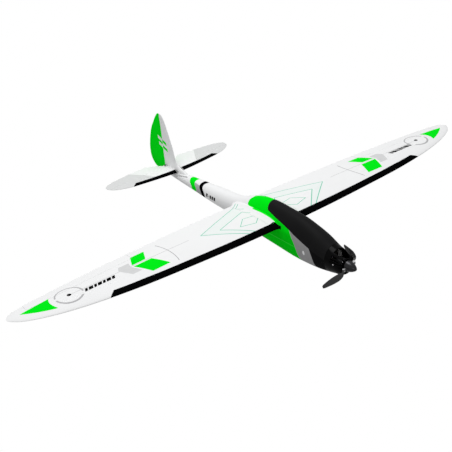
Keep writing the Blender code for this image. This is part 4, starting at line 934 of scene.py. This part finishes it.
MATERIALS = {
    "wing": wing_material(), "tail": tail_material(), "rudder": rudder_material(),
    "fuselage": fuselage_material(), "canopy": canopy_material(), "cowl": cowl_material(),
    "blade": blade_material(), "spinner": spinner_material(), "can": can_material(),
    "ply": ply("birch_ply_lasered"), "ply_dark": ply("birch_ply_stained_black", stain=0.035),
    "wrap": wrap_material(), "strap": strap_material(), "carbon": carbon_material(),
}
for key, name, colour, roughness, options in (
        ("nylon_black", "nylon_black", (0.010, 0.010, 0.010), 0.42, dict(grain=1400, relief=0.10)),
        ("nylon_white", "nylon_white", (0.74, 0.74, 0.73), 0.42, dict(grain=1400, relief=0.08)),
        ("servo", "servo_case_smoked", (0.014, 0.016, 0.022), 0.30,
         dict(grain=800, relief=0.05, coat=0.15)),
        ("shrink", "heat_shrink_black", (0.012, 0.012, 0.013), 0.36, dict(grain=500, relief=0.12)),
        ("silicone", "silicone_wire_red", (0.42, 0.010, 0.010), 0.48, dict(grain=1800)),
        ("silicone_dark", "silicone_wire_dark", (0.020, 0.010, 0.010), 0.48, dict(grain=1800)),
        ("sleeve", "pushrod_sleeve_pale", (0.70, 0.70, 0.69), 0.50,
         dict(grain=1600, relief=0.05, specular=0.2)),
        ("horn_grey", "horn_grey", (0.16, 0.16, 0.165), 0.45, dict(grain=1400, relief=0.08)),
        ("skid", "skid_scuffed_nylon", (0.012, 0.012, 0.012), 0.58,
         dict(grain=700, relief=0.22))):
    MATERIALS[key] = plastic(name, colour, roughness, **options)
for key, name, colour, roughness, stretch in (
        ("alloy", "alloy_machined", (0.66, 0.66, 0.67), 0.30, (900.0, 60.0, 900.0)),
        ("steel", "steel_bright", (0.56, 0.56, 0.57), 0.26, (1200.0, 80.0, 1200.0)),
        ("nickel", "nickel_plate", (0.66, 0.63, 0.58), 0.22, (400.0, 400.0, 400.0))):
    MATERIALS[key] = metal(name, colour, roughness, stretch)

# ---- Fuselage halves, with fin and root fairings
TAIL_SCREW_Y = 0.532
EXIT = [  # pushrod exit slot seen from above, port side: x, y
    (0.0060, 0.4520), (0.0096, 0.4520), (0.0127, 0.4860), (0.0138, 0.5040),
    (0.0101, 0.5040), (0.0090, 0.4860)]
FAIRING_IN = 0.0335                 # x where the fairing starts to slim down to the rib
fairing_x = [0.010, 0.0330] + [
    FAIRING_IN + (RIB_X - GAP - FAIRING_IN) * (k / 16) ** 1.25 for k in range(1, 17)]


def fairing_ring(x, side):
    """A wing section, swollen towards the fuselage."""
    swell = (1 - min(max((x - FAIRING_IN) / (RIB_X - FAIRING_IN), 0.0), 1.0)) ** 2
    above, below = 1 + 0.45 * swell, 1 + 1.9 * swell
    lead, trail = wing_lead(x) - 0.003 * swell, wing_trail(x) + 0.012 * swell
    thick = THICK_ROOT + (THICK_TIP - THICK_ROOT) * x / HALF_SPAN
    return [(side * x, y, z * (above if z > 0 else below))
            for y, z in airfoil(lead, trail, thick, CAMBER, 32)]


outer_y = stations(COWL_AFT + GAP, BODY_END, 0.0085, (0.5850, 0.5815, 0.5740))
outer = loft("fz_outer", [body_ring(y, 88) for y in outer_y])
inner = loft("fz_inner", [body_ring(y, 56, FOAM) for y in stations(COWL_AFT - 0.010, 0.480, 0.022)])
fairings = [loft("fz_fairing", [fairing_ring(x, side) for x in fairing_x]) for side in (-1, 1)]
fin_z = even_stations(-0.038, 0.150, 48, (0.1540, 0.1570, 0.1600, 0.1618, 0.1630))
fin_form = loft("fz_fin", [fin_ring(z) for z in fin_z])
fin_rear = FIN_HINGE_Y - 0.0006
fin_region = prism("fz_fin_keep", [(0.430, -0.030), (fin_rear, -0.0130), (fin_rear, 0.170),
                                   (0.430, 0.170)], 0, -0.03, 0.03)
fin_solid = bake(intersect(bake(fin_form, "fz_fin2"), fin_region), "fz_fin3")

# Lower edge of the canopy seen from the side: y, z
PART_LINE = [(-0.2300, -0.0362), (-0.1480, -0.0156), (-0.1180, -0.0070), (-0.0935, 0.0000),
             (-0.0671, 0.0088), (-0.0381, 0.0158), (-0.0085, 0.0222), (0.0206, 0.0292),
             (0.0500, 0.0355)]


def canopy_region(name, inset):
    """The canopy's space: its side outline crossed with a plan rounded at the back."""
    low = [(y, z + inset * 1.05) for y, z in PART_LINE]
    front = COWL_AFT + GAP + inset if inset > 0 else COWL_AFT - 0.02
    low[0] = (front, low[0][1] + (front - low[0][0]) * 0.25)
    side = prism(name, low + [(0.0500, 0.09), (front, 0.09)], 0, -0.06, 0.06)
    length, width = 0.0330 - inset, 0.0300 - inset
    arch = []
    for k in range(33):
        angle = radians(-90 + 5.625 * k)
        c, s = abs(cos(angle)), sin(angle)
        arch.append((width * (abs(s) ** (2 / 3.5)) * (1 if s > 0 else -1),
                     0.0055 + length * (c if c > 1e-9 else 0.0) ** (2 / 3.5)))
    outline = [(-0.060, -0.30), (-0.060, -0.012)] + arch + [(0.060, -0.012), (0.060, -0.30)]
    return bake(intersect(side, prism(name + "_plan", outline, 2, -0.08, 0.10)), name + "_b")


opening = canopy_region("fz_opening", 0.0)
lid = canopy_region("fz_lid", GAP)
slot_form = loft("fz_slot", [stab_ring(x, 24, grow=0.0004) for x in (-0.03, 0.0, 0.03)])
slot_end = box("fz_slot_end", (-0.04, 0.49, -0.05), (0.04, 0.5605, 0.03))
stab_slot = bake(intersect(slot_form, slot_end), "fz_slot_b")
cutters = [
    inner, opening, stab_slot,
    box("fz_joiner_slot", (-0.03, ELEV_JOINER_Y - 0.0022, STAB_Z - 0.0034),
        (0.03, ELEV_JOINER_Y + 0.0021, STAB_Z + 0.0034)),
    span_rod("fz_tube_hole", -0.10, 0.10, JOINER_Y, JOINER_Z, JOINER_R + GAP),
    span_rod("fz_pin_hole", -0.10, 0.10, REAR_PIN_Y, REAR_PIN_Z, REAR_PIN_R + GAP)]
for side in SIDES.values():
    cutters.append(prism("fz_exit", [(side * x, y) for x, y in EXIT], 2, -0.028, -0.008))
for name, low, high, radius in (("fz_screw_hole", -0.0450, -0.0150, 0.0019),
                                ("fz_screw_pocket", -0.0480, -0.0340, 0.0036)):
    cutters.append(rod(name, (0, TAIL_SCREW_Y, low), (0, TAIL_SCREW_Y, high), radius))
shell = bake(cut(join(outer, *fairings, fin_solid), *cutters), "fz_shell")
for name, side in SIDES.items():
    half = bake(shell, "fz_half_" + name)
    intersect(half, side_box("fz_side", side, (0.00004, -0.4, -0.2), (0.09, 0.8, 0.3)))
    finish(half, "fuselage_half_" + name, "fuselage", sharp=24)

# ---- Canopy
skin_y = stations(COWL_AFT + GAP, 0.060, 0.0080)
skin = cut(loft("fz_canopy", [body_ring(y, 88) for y in skin_y]), inner)
finish(intersect(bake(skin, "fz_canopy_b"), lid), "canopy_hatch", "canopy",
       sharp=30, body="canopy")

# ---- Nose cowl
COWL_WALL = 0.0018
COWL_SLOTS = [(62, 118), (131, 139), (144.5, 152), (157, 163), (41, 49), (28, 35.5), (17, 23)]
COWL_SCREW_ANGLE, COWL_SCREW_R, COWL_SCREW_Y = radians(168), 0.0322, -0.2361

rings = [body_ring(y, 96) for y in (
    COWL_AFT, -0.2085, -0.2130, -0.2175, -0.2220, -0.2265, -0.2320, -0.2360, -0.2400, -0.2435,
    -0.2470, -0.2495, -0.2515, -0.2530)]
rings += [shaft_ring(radius, y, 96) for y, radius in (
    (-0.2540, 0.0262), (-0.2548, 0.0246), (-0.2553, 0.0229), (COWL_FRONT, 0.0208))]
cowl = loft("nz_cowl", rings)
rings = [[(x, COWL_AFT + 0.010, z) for x, _, z in body_ring(COWL_AFT, 72, COWL_WALL)]]
rings += [body_ring(y, 72, COWL_WALL) for y in (-0.2130, -0.2220, -0.2320, -0.2400)]
rings += [shaft_ring(radius, y, 72) for y, radius in (
    (-0.2470, 0.0278), (-0.2512, 0.0240), (-0.2533, 0.0205))]
cut(cowl, loft("nz_hollow", rings))


def cowl_slot(start, end, inner_r=0.0192, outer_r=0.055):
    """A sector about the shaft, between two angles in degrees."""
    steps = max(3, int(abs(end - start) / 4) + 1)
    arc = [radians(start + (end - start) * k / steps) for k in range(steps + 1)]
    outline = [(inner_r * cos(a), SHAFT_Z + inner_r * sin(a)) for a in arc]
    outline += [(outer_r * cos(a), SHAFT_Z + outer_r * sin(a)) for a in reversed(arc)]
    return prism("nz_slot", outline, 1, -0.262, -0.2228)


for start, end in COWL_SLOTS:
    cut(cowl, cowl_slot(start, end))
cut(cowl, rod("nz_shaft_hole", (0, -0.262, SHAFT_Z), (0, -0.248, SHAFT_Z), 0.0052, 48))
for side in SIDES.values():
    x, z = -cos(COWL_SCREW_ANGLE) * side, sin(COWL_SCREW_ANGLE)
    seat = Vector((x * COWL_SCREW_R, COWL_SCREW_Y, SHAFT_Z + z * COWL_SCREW_R))
    out = Vector((x, -0.10, z)).normalized()
    cut(cowl, rod("nz_screw_hole", seat - out * 0.006, seat + out * 0.004, 0.0012, 20))
finish(cowl, "nose_cowl", "cowl", sharp=30, bevel=0.00035)

# ---- Spinner
ARM = Vector((cos(PHASE), 0, sin(PHASE)))   # hub centre to port blade pin
PIN = Vector((-sin(PHASE), 0, cos(PHASE)))  # along the blade pins
FORWARD = Vector((0, -1, 0))
HUB = Vector((0, HUB_Y, SHAFT_Z))
SPIN_BASE, SPIN_TIP, SPIN_R = -0.2585, -0.2905, 0.0155
SPIN_INSIDE = [  # radius, y, from the rim forward to the hollow's end
    (0.0139, SPIN_BASE), (0.0135, -0.2615), (0.0130, -0.2640), (0.0116, -0.2685),
    (0.0098, -0.2720), (0.0072, -0.2775), (0.0040, -0.2820), (0.0, -0.2850)]


def turned(name, profile, segments):
    """(radius, y) points turned about the shaft; both end points lie on it."""
    bm = bmesh.new()
    rows = []
    for radius, y in profile:
        angles = [2 * pi * k / segments for k in range(segments)] if radius > 0 else [0.0]
        rows.append([bm.verts.new(Vector((radius * cos(a), y, SHAFT_Z + radius * sin(a))) + DATUM)
                     for a in angles])
    for a, b in zip(rows, rows[1:]):
        for k in range(segments):
            j = (k + 1) % segments
            if len(a) == 1:
                bm.faces.new((a[0], b[k], b[j]))
            elif len(b) == 1:
                bm.faces.new((a[k], a[j], b[0]))
            else:
                bm.faces.new((a[k], a[j], b[j], b[k]))
    return tool_from(bm, name)


def hub_notch(name, centre, size):
    """A block with sides along the arm, the shaft and the pins."""
    bm = bmesh.new()
    bmesh.ops.create_cube(bm, size=1.0)
    bmesh.ops.scale(bm, vec=size, verts=bm.verts)
    turn = Matrix((ARM, FORWARD, PIN)).transposed().to_4x4()
    bmesh.ops.transform(bm, matrix=Matrix.Translation(centre + DATUM) @ turn, verts=bm.verts)
    return tool_from(bm, name)


profile = [(0.0, SPIN_TIP)]
for k in range(23, -1, -1):
    t = k / 24
    profile.append((SPIN_R * (1 - t ** 1.75) ** 0.72, SPIN_BASE + (SPIN_TIP - SPIN_BASE) * t))
spinner = turned("sp_cone", profile + SPIN_INSIDE, 96)
cut(spinner, hub_notch("sp_notch", HUB + Vector((0, 0.004, 0)), (0.060, 0.0210, 0.0096)))
join(spinner, rod("sp_boss", (0, -0.2852, SHAFT_Z), (0, -0.2698, SHAFT_Z), 0.0030))
finish(spinner, "spinner_cone", "spinner", sharp=34, body="propeller",
       bevel=0.0003)

# ---- Propeller blades
# Distance from the pin, forward offset, chord, thickness, pitch in degrees
BLADE = [
    (0.0030, 0.0000, 0.0054, 0.0030, 90), (0.0062, 0.0032, 0.0054, 0.0030, 84),
    (0.0105, 0.0076, 0.0064, 0.0028, 60), (0.0150, 0.0096, 0.0100, 0.0026, 38),
    (0.0200, 0.0101, 0.0140, 0.0024, 27), (0.0270, 0.0100, 0.0175, 0.0022, 21),
    (0.0350, 0.0092, 0.0193, 0.0019, 18), (0.0440, 0.0078, 0.0192, 0.0017, 16),
    (0.0530, 0.0064, 0.0181, 0.0015, 14), (0.0620, 0.0051, 0.0160, 0.0013, 13),
    (0.0700, 0.0040, 0.0136, 0.0011, 12), (0.0765, 0.0031, 0.0108, 0.0009, 11),
    (0.0800, 0.0027, 0.0066, 0.0008, 11),
]
blade_curves = column_curves(BLADE)
blade_stations = [*np.linspace(0.0030, 0.0200, 18), *np.linspace(0.0215, 0.0775, 36),
                  0.0786, 0.0795, 0.0800]


def blade(name, side, fold):
    """One blade, folded back about its pin by an angle."""
    out = side * ARM
    pin = HUB + out * HUB_ARM
    move = (Matrix.Translation(pin) @ Matrix.Rotation(side * fold, 4, PIN)
            @ Matrix.Translation(-pin))
    rings = []
    for s in blade_stations:
        offset, chord, thick, pitch = [curve(s) for curve in blade_curves]
        pitch = radians(pitch)
        lead = FORWARD * sin(pitch) + PIN * cos(pitch) * side
        normal = out.cross(lead).normalized()
        centre = pin + out * float(s) + FORWARD * offset
        ring = []
        for j in range(28):
            a = 2 * pi * j / 28
            bow = 0.035 * chord * (1 - cos(a) ** 2) * min(1.0, max(0.0, (s - 0.012) / 0.02))
            rise = thick / 2 * sin(a) * (1.15 - 0.3 * cos(a)) + bow
            ring.append(move @ (centre + lead * (chord / 2 * cos(a)) + normal * rise))
        rings.append(ring)
    obj = loft("bl_" + name, rings)
    join(obj, rod("bl_eye", pin - PIN * 0.0016, pin + PIN * 0.0016, 0.0036, 40))
    cut(obj, rod("bl_bore", pin - PIN * 0.006, pin + PIN * 0.006, 0.00085, 20))
    finish(obj, "prop_blade_" + name, "blade", sharp=38, body="blade_" + name)


blade("starboard", -1, 0.0)
blade("port", 1, PORT_FOLD)

# ---- Wing panels and ailerons
SERVO_X, SERVO_Y = 0.4900, 0.0720
SERVO_SHAFT_Y = SERVO_Y + 0.0060
wing_x = even_stations(0.070, 0.700, 46, (
    ROOT_X, 0.712, 0.722, 0.732, 0.742, 0.751, 0.759, 0.766, 0.772, 0.778, 0.783, 0.787,
    0.7905, 0.7935, 0.7960, 0.7978, 0.7985))


def hinge_y(x):
    return AIL_HINGE_IN + (AIL_HINGE_OUT - AIL_HINGE_IN) * (x - AIL_IN) / (AIL_OUT - AIL_IN)


HINGE_Z_IN, HINGE_Z_OUT = [wing_top(x, hinge_y(x)) - 0.0006 for x in (AIL_IN, AIL_OUT)]
ROOM_SECTION = [(-0.0004, 0.012), (-0.0004, -0.030), (0.08, -0.030), (0.08, 0.012)]
# The aileron's front face slopes back below the hinge
AIL_SECTION = [(0.0001, 0.012), (0.0001, 0.0), (0.0001 + 0.030 * tan(radians(27)), -0.030),
               (0.09, -0.030), (0.09, 0.012)]


def hinge_strip(name, x1, x2, section, side):
    """A section given from the hinge line, run along it."""
    rings = []
    for x in (x1, x2):
        hinge_z = HINGE_Z_IN + (HINGE_Z_OUT - HINGE_Z_IN) * (x - AIL_IN) / (AIL_OUT - AIL_IN)
        rings.append([(side * x, hinge_y(x) + dy, hinge_z + dz) for dy, dz in section])
    return loft(name, rings)


for name, side in SIDES.items():
    form = loft("wg_" + name, [wing_ring(x, side) for x in wing_x])
    panel = bake(form, "wg_panel_" + name)
    aileron = bake(form, "wg_aft_" + name)
    cut(panel,
        hinge_strip("wg_room", AIL_IN - 0.0006, AIL_OUT + 0.0006, ROOM_SECTION, side),
        span_rod("wg_bore", side * 0.04, side * (JOINER_HALF + 0.002), JOINER_Y, JOINER_Z,
                 JOINER_R + GAP),
        span_rod("wg_pin", side * 0.04, side * 0.0910, REAR_PIN_Y, REAR_PIN_Z,
                 REAR_PIN_R + GAP, 24),
        side_box("wg_well", side, (SERVO_X - 0.0064, SERVO_Y - 0.0155, -0.030),
                 (SERVO_X + 0.0064, SERVO_Y + 0.0155, 0.0052)),
        side_box("wg_arm", side, (SERVO_X + 0.006, SERVO_SHAFT_Y - 0.0120, -0.030),
                 (SERVO_X + 0.0130, SERVO_SHAFT_Y + 0.0120, 0.0035)))
    intersect(aileron, hinge_strip("wg_keep", AIL_IN, AIL_OUT, AIL_SECTION, side))
    finish(panel, "wing_panel_" + name, "wing", sharp=26)
    finish(aileron, "aileron_" + name, "wing", sharp=26, body="aileron_" + name)

# ---- Stabiliser
NOSE_R = 0.0046     # the elevator's rounded nose turns in a cove of the stabiliser
out_x = even_stations(0, 0.190, 24, (0.197, 0.203, 0.209, 0.214, 0.218, 0.222, 0.2255, 0.2285,
                                     0.2305, 0.2318, 0.2325))
stab_form = loft("tl_form", [stab_ring(x, 32) for x in [-v for v in out_x[:0:-1]] + out_x])
stab_region = box("tl_stab_keep", (-0.30, 0.48, -0.06), (0.30, ELEV_HINGE_Y - 0.0025, 0.03))
stab = intersect(bake(stab_form, "tl_stab"), stab_region)
cut(stab, span_rod("tl_cove", -0.30, 0.30, ELEV_HINGE_Y, STAB_Z, NOSE_R + 0.0003, 72),
    box("tl_pushrod_room", (-0.0138, 0.4900, -0.0300), (0.0138, 0.5077, 0.0100)))
for side in SIDES.values():
    cut(stab, side_box("tl_pushrod_room_side", side, (0.0098, 0.4900, -0.0300),
                       (0.0138, 0.5128, 0.0100)))
finish(stab, "stabiliser", "tail", sharp=26)

# ---- Elevator: two halves on a joiner rod
ELEV_IN, ELEV_REACH = 0.0150, 0.30
bevel_y = ELEV_HINGE_Y + 0.03 * tan(radians(32))
elev_wedge = prism("tl_keep", [
    (ELEV_HINGE_Y, STAB_Z), (bevel_y, STAB_Z + 0.03), (0.70, STAB_Z + 0.03),
    (0.70, STAB_Z - 0.03), (bevel_y, STAB_Z - 0.03)], 0, -0.24, 0.24)
# Room for the fin and rudder, seen from above: port side outwards along y
room_port = [(0.0650, 0.66), (0.0650, 0.6145), (0.0280, 0.5845),
             (0.0135, ELEV_HINGE_Y + 0.0010), (0.0135, 0.54)]
room = prism("tl_room", [(-x, y) for x, y in room_port[::-1]] + room_port, 2, -0.06, 0.04)
noses = [span_rod("tl_nose", lo, hi, ELEV_HINGE_Y, STAB_Z, NOSE_R, 72)
         for lo, hi in ((-ELEV_REACH, -ELEV_IN), (ELEV_IN, ELEV_REACH))]
tails = [side_box("tl_tail", side, (ELEV_IN, ELEV_HINGE_Y + 0.00005, -0.06),
                  (ELEV_REACH, 0.70, 0.03)) for side in SIDES.values()]
elev_region = join(noses[0], noses[1], elev_wedge, *tails)
elevator = bake(cut(intersect(bake(stab_form, "tl_elev"), elev_region), room), "tl_elev_b")
join(elevator, span_rod("tl_rod", -0.0240, 0.0240, ELEV_JOINER_Y, STAB_Z, 0.0011, 24))
finish(elevator, "elevator", "tail", sharp=26, body="elevator")

# ---- Rudder: the fin form behind a vee along the hinge, set back at the foot
rings = []
for setback, z in ((0.0240, -0.045), (0.0180, -0.0290), (0.0, -0.0128), (0.0, 0.170)):
    point = FIN_HINGE_Y + setback
    shoulder = point + 0.03 * tan(radians(36))
    rings.append([(0.0, point, z), (0.03, shoulder, z), (0.03, 0.72, z), (-0.03, 0.72, z),
                  (-0.03, shoulder, z)])
rudder = intersect(bake(fin_form, "tl_rudder"), loft("tl_rudder_region", rings))
finish(rudder, "rudder", "rudder", sharp=26, body="rudder")

# ---- CAD pieces that stay; * stands for each side
CAD_MATERIALS = {
    "skid": "belly_skid tail_skid",
    "steel": "cowl_screw_* motor_shaft blade_pin_* wing_rear_pin aileron_pushrod_* "
             "stabiliser_screw",
    "alloy": "motor_stator hub_yoke",
    "can": "motor_can",
    "wing": "wing_root_rib_*",
    "carbon": "wing_joiner_tube",
    "servo": "aileron_servo_* elevator_servo rudder_servo",
    "nylon_white": "aileron_servo_arm_* elevator_servo_arm rudder_servo_arm rudder_horn "
                   "battery_plug",
    "nylon_black": "aileron_horn_* receiver",
    "horn_grey": "elevator_horn",
    "sleeve": "elevator_pushrod rudder_pushrod",
    "ply": "servo_tray battery_tray",
    "ply_dark": "front_former",
    "nickel": "former_magnet canopy_magnet",
    "wrap": "flight_battery",
    "strap": "battery_strap",
    "silicone": "battery_lead",
    "shrink": "speed_controller receiver_aerial",
    "silicone_dark": "motor_wire_a motor_wire_b motor_wire_c",
}
for key, patterns in CAD_MATERIALS.items():
    for pattern in patterns.split():
        for side in SIDES if "*" in pattern else [""]:
            dress(frame["nodes"][pattern.replace("*", side)], MATERIALS[key], sharp=32)

for obj in list(TOOLS.objects):
    bpy.data.objects.remove(obj, do_unlink=True)
bpy.data.collections.remove(TOOLS)

# ---- Floor: white to the camera, pale grey to the light
floor_mesh = bpy.data.meshes.new("floor")
bm = bmesh.new()
bmesh.ops.create_grid(bm, x_segments=1, y_segments=1, size=30.0)
bmesh.ops.translate(bm, vec=(0, 0, -0.95), verts=bm.verts)
bm.to_mesh(floor_mesh)
bm.free()
floor = add_object("floor", floor_mesh)
pale = Paint.__new__(Paint)
pale.material = bpy.data.materials.new("floor_pale")
pale.material.use_nodes = True
pale.tree = pale.material.node_tree
surface = pale.tree.nodes["Principled BSDF"]
surface.inputs["Base Color"].default_value = (0.62, 0.62, 0.62, 1)
surface.inputs["Roughness"].default_value = 0.9
glow = pale.node("Emission", {"Color": (1, 1, 1, 1)})
path = pale.node("LightPath", {})
pick = pale.node("MixShader", {0: Value(pale, path.outputs["Is Camera Ray"]),
                               1: Value(pale, surface.outputs[0]),
                               2: Value(pale, glow.outputs[0])})
output = pale.tree.nodes["Material Output"]
pale.tree.links.new(pick.outputs[0], output.inputs["Surface"])
floor_mesh.materials.append(pale.material)

# ---- World and lights
world = bpy.data.worlds.new("studio")
SCENE.world = world
world.use_nodes = True
background = world.node_tree.nodes["Background"]
background.inputs["Color"].default_value = (1, 1, 1, 1)
background.inputs["Strength"].default_value = 0.55


def disk_light(name, location, target, size, power):
    light = bpy.data.lights.new(name, "AREA")
    light.shape = "DISK"
    light.size = size
    light.energy = power
    obj = add_object(name, light)
    obj.location = location
    obj.rotation_mode = "QUATERNION"
    aim = Vector(target) - Vector(location)
    obj.rotation_quaternion = aim.to_track_quat("-Z", "Y")


disk_light("key", location=(-0.10, 0.70, 2.8), target=(0, 0.1, 0), size=1.8, power=42)
disk_light("fill", location=(-1.7, -1.9, 1.5), target=(0, 0.0, 0), size=0.6, power=3)

# ---- Camera: ahead, to starboard and above
CAMERA_PLACE = Vector((-1.4231, -1.7821, 1.3161))
azimuth, elevation, roll = radians(-34.823), radians(28.617), radians(-5.656)
back = Vector((sin(azimuth) * cos(elevation), -cos(azimuth) * cos(elevation), sin(elevation)))
right = Vector((cos(azimuth), sin(azimuth), 0.0))
up = back.cross(right)
rolled_right = cos(roll) * right + sin(roll) * up
rolled_up = -sin(roll) * right + cos(roll) * up
lens = bpy.data.cameras.new("camera")
camera = add_object("camera", lens)
camera.matrix_world = Matrix([*zip(rolled_right, rolled_up, back, CAMERA_PLACE), (0, 0, 0, 1)])
lens.sensor_width = 36.0
lens.lens = 73.49623
lens.clip_start = 0.05
lens.clip_end = 100
SCENE.camera = camera
SCENE.view_settings.view_transform = "Standard"
